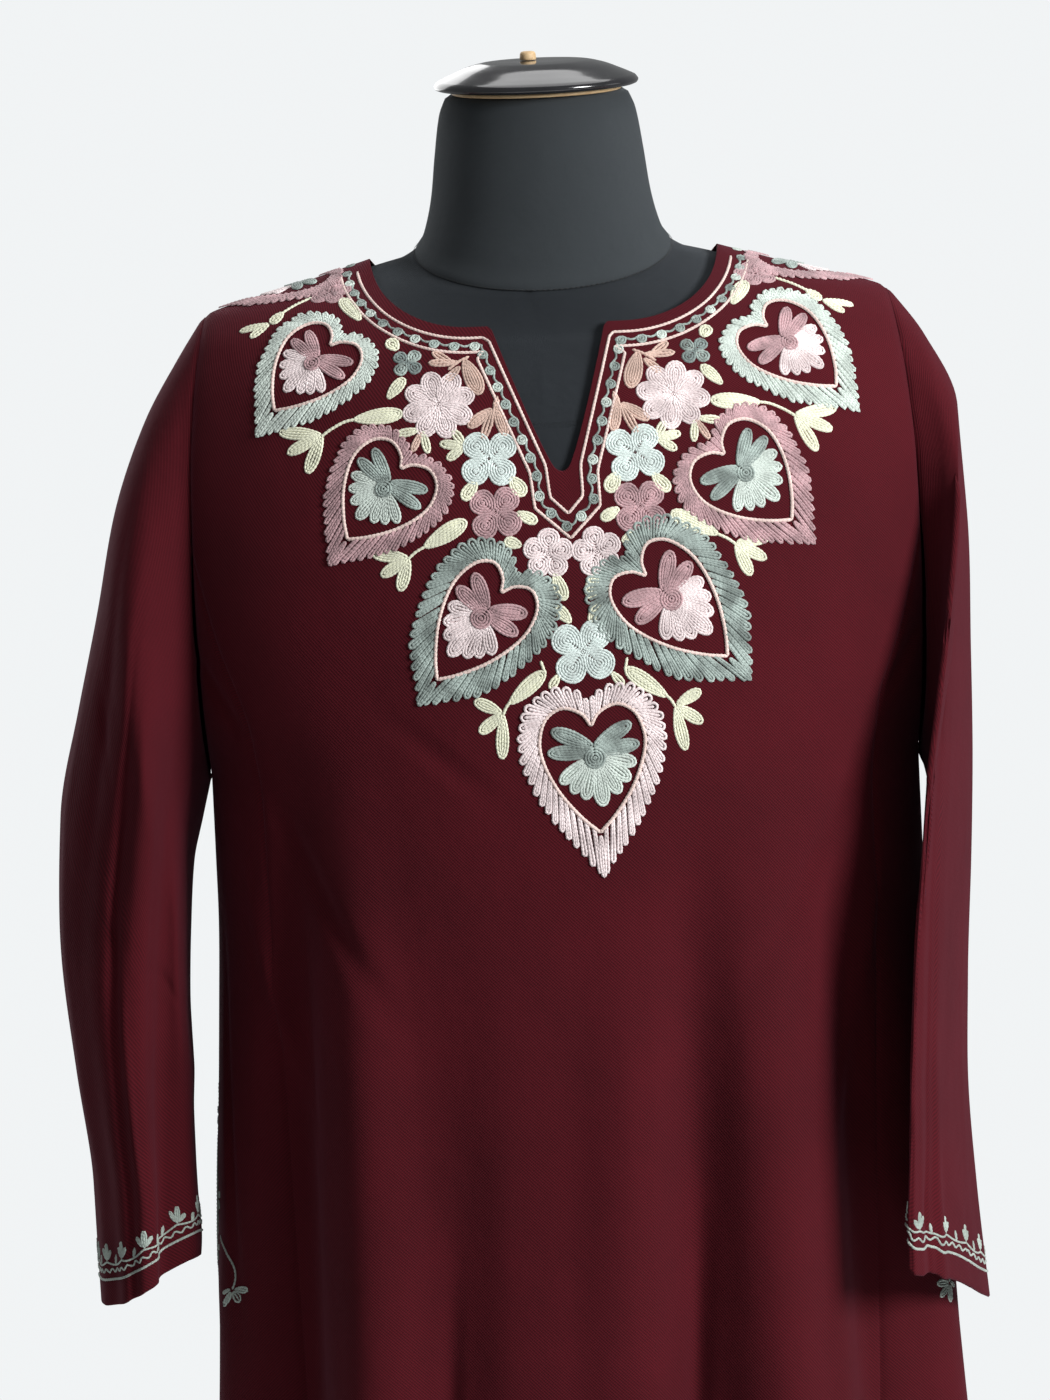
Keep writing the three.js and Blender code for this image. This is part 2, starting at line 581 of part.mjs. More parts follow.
function torsoGeometry() {
  const base = neckSections[0];
  const top = formRing({ ...base, z: heightAt(-base.lift) - NECK_BASE_GAP, power: 2 });
  const shoulders = [0, 0.15, 0.3, 0.45, 0.6, 0.75, 0.88, 1].map(shoulderRing);
  const lower = torsoSections.slice(1).map((row) => formRing({ ...row, z: heightAt(row.down) }));
  return loftGeometry([top, ...shoulders, ...lower]);
}

function neckGeometry() {
  const rings = neckSections.map((row) => formRing({ ...row, z: heightAt(-row.lift), power: 2 }));
  return loftGeometry(rings.reverse());
}

const lathe = (profile, steps = 32) =>
  new THREE.LatheGeometry(profile.map(([r, z]) => new THREE.Vector2(r, z)), steps).rotateX(Math.PI / 2);

function capGeometry() {
  const r = CAP.radius;
  return lathe([
    [0, 3],
    [r * 0.88, 3],
    [r - 2, 3.2],
    [r, 5.5],
    [r - 0.6, 7.6],
    [r * 0.84, 11.2],
    [r * 0.66, 15.2],
    [r * 0.5, 17.2],
    [r * 0.3, 17.6],
    [0, 17.6],
  ]);
}

// ---------------------------------------------------------------- the scene graph
const finish = {
  wool: { color: 0x4a171d, roughness: 0.92, metalness: 0 },
  jersey: { color: 0x3f4447, roughness: 0.9, metalness: 0 },
  lacquer: { color: 0x141416, roughness: 0.16, metalness: 0 },
  wood: { color: 0xb58a55, roughness: 0.6, metalness: 0 },
  steel: { color: 0x1d1e20, roughness: 0.45, metalness: 0.6 },
};

const pheran = new THREE.Group();

function add(parent, name, geometry, look) {
  const mesh = new THREE.Mesh(geometry, new THREE.MeshStandardMaterial(finish[look]));
  mesh.name = name;
  parent.add(mesh);
  return mesh;
}

add(pheran, "front", frontPanel(), "wool");
add(pheran, "back", backPanel(), "wool");
for (const which of ["left", "right"]) {
  add(pheran, `front_gore_${which}`, gorePanel("front", which), "wool");
  add(pheran, `back_gore_${which}`, gorePanel("back", which), "wool");
  add(pheran, `sleeve_${which}`, sleeve(which === "left" ? leftSleeve : rightSleeve, which), "wool");
  add(pheran, `pocket_${which}`, pocketGeometry(which), "wool");
}

const form = new THREE.Group();
pheran.add(form);
add(form, "form_torso", torsoGeometry(), "jersey");
add(form, "form_neck", neckGeometry(), "jersey");

const neckTop = new THREE.Group();
neckTop.position.set(0, CAP.y, heightAt(-CAP.lift) + CAP.tilt * CAP.y);
neckTop.rotation.x = Math.atan(CAP.tilt);
form.add(neckTop);
add(neckTop, "form_cap_disc", lathe([[0, 0.4], [47, 0.4], [47, 2.7], [0, 2.7]]), "wood");
add(neckTop, "form_cap", capGeometry(), "lacquer");
const stub = lathe([[0, 17.9], [4.5, 17.9], [4, 22.5], [0, 22.5]], 12);
add(neckTop, "form_cap_stub", stub, "wood").position.x = -4;

const stand = new THREE.Group();
pheran.add(stand);
const torsoFoot = heightAt(torsoSections.at(-1).down);
const { base, plate, pole, flange, flangeHeight } = STAND;
const socketTop = plate + 22;
const poleFoot = socketTop + 0.3;
const poleTop = torsoFoot - flangeHeight - 0.6;
const baseProfile = [
  [0, 0],
  [base - 2, 0],
  [base, 2],
  [base, plate - 3],
  [base - 5, plate],
  [32, plate],
  [24, socketTop],
  [0, socketTop],
];
const flangeProfile = [
  [0, 0],
  [22, 0],
  [flange, flangeHeight - 3],
  [flange, flangeHeight],
  [0, flangeHeight],
];
add(stand, "stand_base", lathe(baseProfile, 40), "steel");
add(stand, "stand_pole", lathe([[0, poleFoot], [pole, poleFoot], [pole, poleTop], [0, poleTop]], 20), "steel");
add(stand, "stand_flange", lathe(flangeProfile, 24), "steel").position.z = torsoFoot - flangeHeight - 0.3;

export default pheran;
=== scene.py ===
import math

import bpy
import numpy as np
from mathutils import Matrix, Vector
from mathutils.bvhtree import BVHTree


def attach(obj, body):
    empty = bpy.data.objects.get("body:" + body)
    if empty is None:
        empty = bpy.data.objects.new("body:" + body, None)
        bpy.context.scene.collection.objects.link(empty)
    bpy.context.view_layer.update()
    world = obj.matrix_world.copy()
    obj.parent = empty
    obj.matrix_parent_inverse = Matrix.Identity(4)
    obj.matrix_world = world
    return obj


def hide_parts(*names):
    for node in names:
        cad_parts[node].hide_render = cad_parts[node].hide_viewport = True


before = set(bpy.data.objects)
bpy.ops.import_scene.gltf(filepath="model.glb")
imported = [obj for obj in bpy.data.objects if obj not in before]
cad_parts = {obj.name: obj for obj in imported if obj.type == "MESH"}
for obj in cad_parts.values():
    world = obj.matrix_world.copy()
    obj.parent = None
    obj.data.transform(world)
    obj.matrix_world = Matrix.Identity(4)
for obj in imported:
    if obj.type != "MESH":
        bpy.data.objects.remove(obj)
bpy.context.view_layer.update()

MM = 0.001
random = np.random.default_rng(7)

# ---- driving sizes, in millimetres
SHOULDER_HEIGHT = 1390.0
CLOTH = 1.6
GARMENT_LENGTH = 1067.0
NECK_HALF, TIP_HALF = 96.0, 190.0
TIP_DROP, ARMPIT_DOWN = 28.0, 286.0
NECK_FRONT_DROP, NECK_BACK_DROP, NECK_FLAT_HALF = 39.0, 16.0, 42.0
SLIT_HALF, SLIT_DEPTH, SLIT_FOOT, SLIT_LEAN = 31.0, 78.0, 4.0, 4.0
SLIT_BEND, SLIT_FOOT_RISE = 1.15, 0.03  # its edges bend a little, and its foot is a little rounded
GORE_TOP = (TIP_DROP + ARMPIT_DOWN) / 2
POCKET_TOP, POCKET_BOTTOM, POCKET_GAPE = 466.0, 592.0, 6.0
POCKET_MOUTH = {"left": 2.45, "right": 1.75}
BODY_POWER = 2.2  # of the oval that the body is seen from above
BACK_NECK_POWER = 2.4
ARMHOLE_EASE = 0.5
EASED_SHARE = 0.32  # the part of a sleeve that the armhole still shapes
PANEL_ANGLE = math.radians(72)
TORSO_UNDER, TORSO_WITHIN = 4.4, 2.0
SIDE = {"left": 1, "right": -1}
HEM_START = GARMENT_LENGTH - 6
HEM_ROWS = (GARMENT_LENGTH - 3, GARMENT_LENGTH - 1, GARMENT_LENGTH)

# down, half the width, depth of the front, depth of the back
BODY = np.array([
    (0, 96, 24, 36), (12, 136, 36, 50), (28, 190, 57, 64), (45, 207, 75, 76), (75, 217, 95, 90),
    (120, 223, 112, 104), (180, 220, 125, 115), (240, 210, 130, 118), (286, 199, 131, 117),
    (350, 199, 131, 116), (450, 204, 134, 119), (560, 210, 139, 126), (650, 214, 144, 132),
    (800, 224, 153, 142), (950, 236, 163, 152), (1067, 247, 171, 160),
], float)
ARMHOLE = np.array([(28, 190), (75, 196), (120, 199), (190, 200), (286, 199)], float)
GORE_SEAM = np.array([
    (157, 200), (205, 188), (250, 173), (300, 167), (450, 168), (650, 168), (1067, 176),
], float)
# degrees round the body, half of the fold, depth at the hem, level where it starts
BODY_FOLDS = (
    (17, 11, -15, 300), (32, 13, 9, 330), (51, 13, -20, 300), (70, 11, 13, 420), (92, 12, -13, 380),
    (112, 12, 12, 420), (131, 11, -14, 330), (150, 12, 10, 380), (169, 12, -13, 300), (-8, 15, 5, 420),
    (-34, 12, 11, 300), (-52, 12, -17, 280), (-71, 11, 12, 420), (-93, 12, -12, 400), (-113, 12, 13, 380),
    (-134, 13, -15, 330), (-156, 13, 12, 360),
)
# Small creases: from (degrees, down) to (degrees, down), half width in mm, depth in mm
CREASES = (
    (58, 262, 22, 420, 13, -2.4), (63, 300, 40, 520, 10, 2.0), (-60, 262, -24, 430, 13, -2.6),
    (-66, 310, -44, 520, 10, 2.2), (20, 470, 12, 800, 11, -3.0), (-20, 500, -27, 900, 10, -3.2),
    (40, 600, 44, 1060, 9, 2.6), (-43, 560, -40, 1000, 9, -2.6), (0, 640, 5, 1060, 13, 2.8),
    (76, 330, 60, 600, 9, -2.4), (-80, 340, -62, 640, 9, -2.2), (84, 640, 80, 1060, 9, 2.4),
    (-84, 660, -79, 1060, 9, 2.2), (118, 250, 158, 400, 14, -2.6), (-120, 250, -158, 420, 14, -2.4),
    (140, 430, 136, 900, 10, 2.6), (-146, 460, -143, 980, 10, -2.8), (176, 420, 179, 900, 12, 2.4),
    (104, 420, 108, 900, 9, -2.2), (-104, 430, -100, 900, 9, 2.4), (160, 600, 156, 1060, 9, -2.4),
    (30, 225, -2, 300, 12, -1.2), (-33, 228, -6, 306, 12, -1.1), (70, 196, 52, 268, 11, -1.5),
    (-72, 200, -54, 270, 11, -1.6), (110, 190, 135, 260, 12, -1.5), (-112, 188, -136, 262, 12, -1.4),
)
# The cloth hangs in deeper folds than the solids under it: these are added, given as in BODY_FOLDS
DEEPER_FOLDS = (
    (18, 8, -9.0, 250), (31, 9, 5.5, 250), (5, 8, 4.0, 300), (-21, 9, -5.0, 330), (-35, 10, 7.0, 200),
    (-49, 8, -8.0, 220), (47, 8, -5.0, 260), (162, 11, 3.5, 260), (178, 10, -3.5, 300), (-168, 10, 3.0, 260),
    (146, 9, -3.0, 300), (-146, 10, -3.5, 280), (128, 8, 2.5, 320), (-126, 8, 2.5, 320),
)
FOLD_RUN, DEEPER_RUN = 180, 260  # a fold sets in over so many mm
LATE_SHARE = 0.65  # of a fold's depth grows only towards the hem
WANDER, WANDER_RUN = 1.6, 120  # how far a deeper fold wanders, in degrees, and over how many mm
RIPPLE, RIPPLE_START, RIPPLE_FULL = 0.8, 230, 380  # height of faint ripples, and where they set in
SLEEVE_RIPPLE = 0.5
ARC_MM = 3.6  # of one degree round the body, about
CREASE_DEPTH = 1.4  # times the depths in CREASES
SLEEVE_ARC_MM, SLEEVE_MM = 0.9, 300.0  # of one degree round a sleeve, and of a whole sleeve, for its creases

# outer, outerDown, inner, innerDown, half, middle, lean, rise
SLEEVES = {
    "right": np.array([
        (190, 28, 199, 286, 80, -6, 0, 0), (206, 52, 205, 309, 83, -8, 0, 0),
        (225, 84, 211, 333, 84, -10, 1, 1), (244, 132, 214, 362, 82, -12, 2, 2),
        (257, 188, 216, 391, 79, -13, 3, 3), (271, 244, 217, 419, 76, -14, 4, 4),
        (284, 303, 217, 444, 73, -15, 5, 5), (288, 370, 219, 471, 70, -17, 5, 5),
        (283, 446, 221, 502, 67, -20, 4, 5), (276, 510, 222, 528, 63, -24, 3, 6),
        (275, 577, 223, 558, 59, -28, 2, 8),
    ], float),
    "left": np.array([
        (190, 28, 199, 286, 80, -6, 0, 0), (209, 55, 203, 309, 80, -14, 1, 0),
        (225, 94, 202, 334, 76, -26, 6, 1), (226, 150, 200.5, 363, 71, -40, 13, 2),
        (222.5, 207, 197.5, 391, 68, -50, 17, 3), (219, 262, 195.5, 417, 66, -58, 19, 4),
        (214, 327, 193, 443, 63, -66, 20, 6), (209.5, 396, 190, 470, 61, -73, 19.5, 8),
        (206.5, 460, 189, 501, 59, -79, 20, 9), (207, 520, 189, 531, 56, -83, 22, 10),
        (210, 584, 190, 556, 54, -87, 25, 16),
    ], float),
}
# degrees, half width, depth, start and end as shares of the length: for both sleeves, then for each alone
SLEEVE_FOLDS = (
    (52, 22, -3, 0.05, 0.4), (98, 20, 4, 0.02, 0.3), (124, 18, -9, 0.04, 0.3), (150, 18, 5, 0.1, 0.45),
    (205, 24, -5, 0.1, 0.5), (250, 24, 6, 0.05, 0.4), (292, 22, -5, 0.05, 0.5),
)
OWN_FOLDS = {
    "right": ((138, 15, -5, 0.25, 0.8), (168, 24, 7, 0.4, 0.95), (112, 14, 2.5, 0.2, 0.7),
              (84, 10, -2.5, 0.1, 0.6)),
    "left": ((118, 9, -4, 0.2, 0.7), (84, 10, 3, 0.3, 0.8), (60, 9, -3.5, 0.15, 0.8),
             (38, 9, 2.5, 0.3, 0.9)),
}
# from (degrees, share) to (degrees, share), half width in mm, depth in mm
SLEEVE_CREASES = (
    (70, 0.06, 88, 0.75, 5, -2.6), (80, 0.3, 100, 1.0, 4.5, 2.2), (112, 0.12, 110, 1.0, 5, -2.8),
    (136, 0.1, 146, 0.8, 5, 2.4), (40, 0.1, 60, 0.6, 8, -1.8), (20, 0.2, 34, 0.95, 8, 1.6),
    (232, 0.1, 226, 0.9, 7, -2.4), (268, 0.15, 276, 0.95, 6, 2.2), (310, 0.1, 300, 0.7, 8, -2.0),
    (338, 0.3, 345, 1.0, 8, 1.6), (95, 0.50, 60, 0.60, 6, -1.6), (150, 0.42, 110, 0.52, 6, -1.4),
    (240, 0.46, 290, 0.56, 7, -1.8), (30, 0.34, 75, 0.42, 7, -1.2),
)
# degrees, half width, rise of the hem
HEM_LIFTS = {"left": ((25, 75, 10), (-75, 50, -5)), "right": ((60, 60, -3), (150, 45, 4))}

# ---- small mathematics


def curve(keys, values, x):
    """Values of a table at x, through a curve with no overshoot. A row of values may be an array."""
    keys = np.asarray(keys, float)
    values = np.asarray(values, float)
    extra = (1,) * (values.ndim - 1)
    step = np.diff(keys)
    slope = np.diff(values, axis=0) / step.reshape((-1,) + extra)
    tangent = np.empty_like(values)
    tangent[0], tangent[-1] = slope[0], slope[-1]
    before, after = slope[:-1], slope[1:]
    total = np.where(before + after == 0, 1, before + after)
    tangent[1:-1] = np.where(before * after > 0, 2 * before * after / total, 0)
    x = np.clip(x, keys[0], keys[-1])
    i = np.clip(np.searchsorted(keys, x, side="right") - 1, 0, len(step) - 1)
    h = np.reshape(step[i], np.shape(x) + extra)
    t = np.reshape((x - keys[i]) / step[i], np.shape(x) + extra)
    return (
        values[i] * (1 + 2 * t) * (1 - t) ** 2
        + tangent[i] * h * t * (1 - t) ** 2
        + values[i + 1] * t**2 * (3 - 2 * t)
        + tangent[i + 1] * h * t**2 * (t - 1)
    )


def smooth(low, high, x):
    """0 up to low, 1 from high on, and a soft step between them."""
    t = np.clip((x - low) / (high - low), 0, 1)
    return t * t * (3 - 2 * t)


def mix(a, b, share):
    return a + (b - a) * share


def bump(x, width):
    """A soft hump of height 1 that ends at width on both sides."""
    return np.where(np.abs(x) < width, np.cos(np.pi * x / (2 * width)) ** 2, 0)


def turn(degrees):
    """The same angle from -180 to 180."""
    return (degrees + 180) % 360 - 180


def unit(v):
    return v / np.maximum(np.linalg.norm(v, axis=-1, keepdims=True), 1e-9)


def stacked(*parts):
    return np.stack(np.broadcast_arrays(*parts), -1)


def oval(share, power=BODY_POWER):
    """How far an oval reaches, as a share of its depth, at a share of its half width."""
    return np.maximum(0, 1 - np.abs(share) ** power) ** (1 / power)


def folds(table, degrees, growth):
    """Sum of broad folds. growth gives how far each has grown from the rest of its row."""
    total = 0
    for at, width, depth, *reach in table:
        total = total + depth * growth(*reach) * bump(turn(degrees - at), width)
    return total


def creases(table, across_mm, x, y_mm, along_scale=1.0):
    """Sum of short soft creases. x is in degrees, and across_mm is the length of one."""
    total = 0
    for x0, y0, x1, y1, width, depth in table:
        run_x, run_y = (x1 - x0) * across_mm, (y1 - y0) * along_scale
        length = math.hypot(run_x, run_y)
        dx, dy = turn(x - x0) * across_mm, y_mm - y0 * along_scale
        t = np.clip((dx * run_x + dy * run_y) / length**2, 0, 1)
        aside = (dx * run_y - dy * run_x) / length
        total = total + depth * bump(aside, width) * np.sin(np.pi * t) ** 2
    return total


# ---- the body of the garment


def fold_at(degrees, down):
    """How far the folds and creases move the cloth outwards."""
    total = folds(BODY_FOLDS, degrees, lambda start: mix(
        smooth(start, start + FOLD_RUN, down), smooth(start, GARMENT_LENGTH, down), LATE_SHARE))
    for at, width, depth, start in DEEPER_FOLDS:
        place = turn(degrees - at - WANDER * np.sin(down / WANDER_RUN + at))
        total = total + depth * smooth(start, start + DEEPER_RUN, down) * bump(place, width)
    wave = np.sin(down / 47 + degrees / 13) * np.sin(degrees / 7.3 + down / 155)
    small = CREASE_DEPTH * creases(CREASES, ARC_MM, degrees, down)
    return total + small + RIPPLE * smooth(RIPPLE_START, RIPPLE_FULL, down) * wave


def body_half(down):
    return curve(BODY[:, 0], BODY[:, 1], down)


def body_depth(ahead, down):
    return np.where(ahead, curve(BODY[:, 0], BODY[:, 2], down), curve(BODY[:, 0], BODY[:, 3], down))


def body_point(degrees, down):
    """A point of the worn cloth, at an angle round the body from the centre front."""
    half = body_half(down)
    front = np.abs(degrees) <= 90
    full = body_depth(front, down)
    share = np.sin(np.radians(degrees))
    depth = full * oval(share)
    y = np.where(front, -depth, depth)
    out = unit(stacked(share / half, y / full**2))
    moved = out * fold_at(degrees, down)[..., None]
    return stacked(half * share + moved[..., 0], y + moved[..., 1], SHOULDER_HEIGHT - down)


def body_node(x, down, face):
    """The cloth at x on the front or the back: the point and the way out of it."""
    angle = np.degrees(np.arcsin(np.clip(x / body_half(down), -1, 1)))
    degrees = angle if face == "front" else 180 * np.where(x < 0, -1, 1) - angle
    return body_node_at(degrees, down)


def body_node_at(degrees, down):
    """The cloth at an angle round the body: the point and the way out of it."""
    round_it = body_point(turn(degrees + 1), down) - body_point(turn(degrees - 1), down)
    along = body_point(degrees, down + 1) - body_point(degrees, np.maximum(0, down - 1))
    return body_point(degrees, down), unit(np.cross(along, round_it))


def shoulder_drop(x):
    """Level of the shoulder seam, where the body is just as wide as x."""
    low, high = np.zeros(np.shape(x)), np.full(np.shape(x), TIP_DROP)
    for _ in range(40):
        middle = (low + high) / 2
        wider = body_half(middle) < np.abs(x)
        low, high = np.where(wider, middle, low), np.where(wider, high, middle)
    return (low + high) / 2


def neckline_drop(x, face):
    """Level of the neckline, and of the shoulder seam beyond it."""
    far = np.minimum(np.abs(x), NECK_HALF)
    if face == "back":
        edge = NECK_BACK_DROP * oval(far / NECK_HALF, BACK_NECK_POWER)
    else:
        share = np.maximum(0, far - NECK_FLAT_HALF) / (NECK_HALF - NECK_FLAT_HALF)
        edge = NECK_FRONT_DROP * np.sqrt(np.maximum(0, 1 - share**2))
    return np.where(np.abs(x) >= NECK_HALF, shoulder_drop(x), edge)


def slit_share(x):
    """Depth of the slit at x, as a share of its full depth."""
    out = np.clip((np.abs(x) - SLIT_FOOT) / (SLIT_HALF - SLIT_FOOT), 0, 1)
    return (1 - out**SLIT_BEND) * (1 - SLIT_FOOT_RISE * np.minimum(1, np.abs(x) / SLIT_FOOT) ** 2)


def armhole_half(down):
    return curve(ARMHOLE[:, 0], ARMHOLE[:, 1], down)


def seam_half(down):
    return curve(GORE_SEAM[:, 0], GORE_SEAM[:, 1], down)


SHOULDER_COLUMNS = (96, 111, 127, 143, 159, 175, 190)
FRONT_COLUMNS = (0, 4, 9, 15, 22, 31, 42, 54, 66, 78, 87, 93) + SHOULDER_COLUMNS
BACK_COLUMNS = (0, 20, 42, 63, 81, 92) + SHOULDER_COLUMNS
SEAM_DIP = 0.9  # how far the cloth turns in at a seam
SEAM_REACH = 2.2
EDGE_SHARES = np.array([0.0, 0.0035, 0.008, 0.015, 0.026])


def near_edges(count):
    """Shares from 0 to 1 with close ones near both ends."""
    inside = np.linspace(0.045, 0.955, count)
    return np.unique(np.concatenate([EDGE_SHARES, inside, 1 - EDGE_SHARES]))


def run_lengths(points, axis):
    """Lengths along the lines of a grid, from their first points."""
    steps = np.linalg.norm(np.diff(points, axis=axis), axis=-1)
    zero = np.zeros_like(np.take(steps, [0], axis=axis))
    return np.concatenate([zero, np.cumsum(steps, axis=axis)], axis=axis)


def seam_dip(distance):
    return (SEAM_DIP * np.exp(-((distance / SEAM_REACH) ** 2)))[..., None]


def seamed(points, normals):
    """Turns the cloth in a little where a row ends in a seam."""
    run = run_lengths(points, 1)
    return points - normals * seam_dip(np.minimum(run, run[:, -1:] - run))


def panel_levels(count_above, count_below):
    """Levels of the rows of a centre panel, above and below the armpit."""
    above = TIP_DROP + (ARMPIT_DOWN - TIP_DROP) * (1 - np.cos(np.linspace(0, np.pi, count_above + 1))) / 2
    below = np.linspace(ARMPIT_DOWN, HEM_START, count_below + 1)[1:]
    return np.concatenate([above, below, HEM_ROWS])


def centre_panel(face, count_across, count_above, count_below):
    """The panel between the gore seams: its points and normals, row by row."""
    columns = np.array(FRONT_COLUMNS if face == "front" else BACK_COLUMNS, float)
    steps = len(columns) - 1
    spread = near_edges(count_across) * 2 - 1
    k = steps * np.arcsin(np.clip(np.abs(spread) * math.sin(PANEL_ANGLE), 0, 1)) / PANEL_ANGLE
    x_top = np.sign(spread) * np.interp(k, np.arange(steps + 1), columns)
    top = neckline_drop(x_top, face)
    lean = 0
    if face == "front":
        top = top + SLIT_DEPTH * slit_share(x_top)
        lean = SLIT_LEAN * slit_share(x_top)
    down = panel_levels(count_above, count_below)[:, None]
    share = np.clip((down - TIP_DROP) / (ARMPIT_DOWN - TIP_DROP), 0, 1)
    edge = np.where(down <= GORE_TOP, armhole_half(down), seam_half(down))
    settle = smooth(0, 0.75, share)
    across = edge * mix(x_top / TIP_HALF, spread, settle) + lean * (1 - share)
    level = np.where(down < ARMPIT_DOWN, mix(top, ARMPIT_DOWN, share), down)
    points, normals = body_node(across, level, face)
    return seamed(points, normals), normals


def pocket_gape(down):
    """How far the opening of the side seam gapes, in degrees."""
    half = (POCKET_BOTTOM - POCKET_TOP) / 2
    return POCKET_GAPE * bump(down - (POCKET_BOTTOM + POCKET_TOP) / 2, half)


def gore(face, which, count_across, count_down):
    """The panel from the gore seam to the side seam: its points and normals, row by row."""
    above = np.linspace(GORE_TOP + 1.5, ARMPIT_DOWN, 30)[:-1]
    below = np.linspace(ARMPIT_DOWN, HEM_START, count_down)
    down = np.concatenate([above, below, HEM_ROWS])[:, None]
    half = body_half(down)
    start = np.degrees(np.arcsin(np.minimum(1, seam_half(down) / half)))
    outer = np.where(down < ARMPIT_DOWN, armhole_half(down), half)
    end = np.degrees(np.arcsin(np.minimum(1, outer / half)))
    if face == "front":
        end = end - pocket_gape(down)
    degrees = mix(start, np.maximum(end, start + 0.05), near_edges(count_across)[None, :])
    if face == "back":
        degrees = 180 - degrees
    points, normals = body_node_at(SIDE[which] * degrees, down)
    return seamed(points, normals), normals


# ---- sleeves


def sleeve_table(which):
    """The rows of a sleeve's table, and where each lies as a share of its length."""
    rows = SLEEVES[which]
    middle = np.stack([(rows[:, 0] + rows[:, 2]) / 2, (rows[:, 1] + rows[:, 3]) / 2], -1)
    run = run_lengths(middle, 0)
    return run / run[-1], rows


def hung_point(which, share, degrees):
    """A point of the hanging sleeve, which does not yet meet its armhole."""
    keys, rows = sleeve_table(which)
    outer, outer_down, inner, inner_down, half, middle, lean, rise = (
        curve(keys, rows[:, column], share) for column in range(8)
    )
    angle = np.radians(degrees)
    zero = np.zeros(np.broadcast_shapes(np.shape(outer), np.shape(degrees)))
    outwards = stacked((outer - inner) / 2, zero, (inner_down - outer_down) / 2)
    forwards = stacked(-lean, -half, rise + zero)
    table = SLEEVE_FOLDS + OWN_FOLDS[which]
    fold = folds(table, degrees, lambda start, end: smooth(start, end, share))
    soft = creases(SLEEVE_CREASES, SLEEVE_ARC_MM, degrees, share * SLEEVE_MM, SLEEVE_MM)
    wave = SLEEVE_RIPPLE * smooth(0.1, 0.3, share) * np.sin(share * 21 + degrees / 19)
    fold = fold + soft * smooth(0, 0.1, share) + wave * np.sin(degrees / 11 + share * 9)
    cosine, sine = np.cos(angle)[..., None], np.sin(angle)[..., None]
    away = unit(outwards) * cosine + unit(forwards) * sine
    level = SHOULDER_HEIGHT - (outer_down + inner_down) / 2
    for at, width, lift in HEM_LIFTS[which]:
        level = level + lift * smooth(0.8, 1.0, share) * bump(turn(degrees - at), width)
    centre = stacked((outer + inner) / 2 + zero, middle + zero, level + zero)
    point = centre + outwards * cosine + forwards * sine + away * fold[..., None]
    return point * np.array([SIDE[which], 1, 1])


def armhole_node(degrees, which):
    """The edge of the armhole at an angle round the sleeve."""
    down = TIP_DROP + (ARMPIT_DOWN - TIP_DROP) * (1 - np.cos(np.radians(degrees))) / 2
    front = body_node(SIDE[which] * armhole_half(down), down, "front")
    back = body_node(SIDE[which] * armhole_half(down), down, "back")
    in_front = (degrees % 360 <= 180)[..., None]
    return np.where(in_front, front[0], back[0]), np.where(in_front, front[1], back[1])


def sleeve_point(which, share, degrees):
    """A point of the sleeve, at a share of its length and an angle round it."""
    share, degrees = np.broadcast_arrays(np.asarray(share, float), np.asarray(degrees, float))
    if np.min(share) >= EASED_SHARE:
        return hung_point(which, share, degrees)
    held = armhole_node(degrees, which)[0] - hung_point(which, np.zeros(share.shape), degrees)
    held = held + np.array([SIDE[which] * ARMHOLE_EASE, 0, 0])
    return hung_point(which, share, degrees) + held * (1 - smooth(0, EASED_SHARE, share))[..., None]


SHARE_STEP = 0.004  # of a sleeve's length, to find its slope


def sleeve_node(which, share, degrees):
    """The same point and the way out of the cloth."""
    point = sleeve_point(which, share, degrees)
    along = sleeve_point(which, np.minimum(1, share + SHARE_STEP), degrees)
    along = along - sleeve_point(which, np.maximum(0, share - SHARE_STEP), degrees)
    round_it = sleeve_point(which, share, degrees + 1.5) - sleeve_point(which, share, degrees - 1.5)
    return point, unit(np.cross(round_it, along)) * SIDE[which]


SHOULDER_ANGLES = (60, 115)  # the top of a sleeve lies in one plane with the body up to these


def sleeve_grid(which, count_round, count_along):
    """A whole sleeve. Its normals start as those of the body where the two lie in one plane."""
    degrees = np.linspace(0, 360, count_round, endpoint=False)[None, :]
    share = np.concatenate([
        [0, 0.002, 0.005, 0.009], np.linspace(0.016, 0.985, count_along), [0.992, 0.997, 1.0],
    ])[:, None]
    points, normals = sleeve_node(which, share, degrees)
    own = smooth(0, 0.03, share) * np.ones(degrees.shape)
    over = 1 - smooth(*SHOULDER_ANGLES, np.abs(turn(degrees)))
    shared = armhole_node(degrees * np.ones(share.shape), which)[1]
    blend = ((1 - own) * over)[..., None]
    normals = unit(mix(normals, shared, blend))
    from_seam = np.linalg.norm(points - points[:1], axis=-1)
    return points - normals * seam_dip(from_seam), normals


# ---- meshes


def make_object(name, points, faces, uvs=None):
    """A smooth mesh object from points in millimetres."""
    mesh = bpy.data.meshes.new(name)
    mesh.from_pydata((np.asarray(points) * MM).tolist(), [], [list(f) for f in faces])
    mesh.polygons.foreach_set("use_smooth", np.ones(len(mesh.polygons), bool))
    if uvs is not None:
        layer = mesh.uv_layers.new(name="UVMap")
        layer.data.foreach_set("uv", np.asarray(uvs, np.float32).reshape(-1))
    mesh.update()
    made = bpy.data.objects.new(name, mesh)
    bpy.context.scene.collection.objects.link(made)
    return made


def grid_cells(rows, columns, wrap=False):
    """The four corners of each cell of a grid of points: their rows, their columns and their numbers."""
    last = columns if wrap else columns - 1
    i, j = (a.ravel() for a in np.meshgrid(np.arange(rows - 1), np.arange(last), indexing="ij"))
    i, j = np.stack([i, i + 1, i + 1, i], -1), np.stack([j, j, j + 1, j + 1], -1)
    return i, j, i * columns + j % columns


EDGE_ROUNDING = 0.45  # how far the edge of the cloth stands out, as a share of its thickness


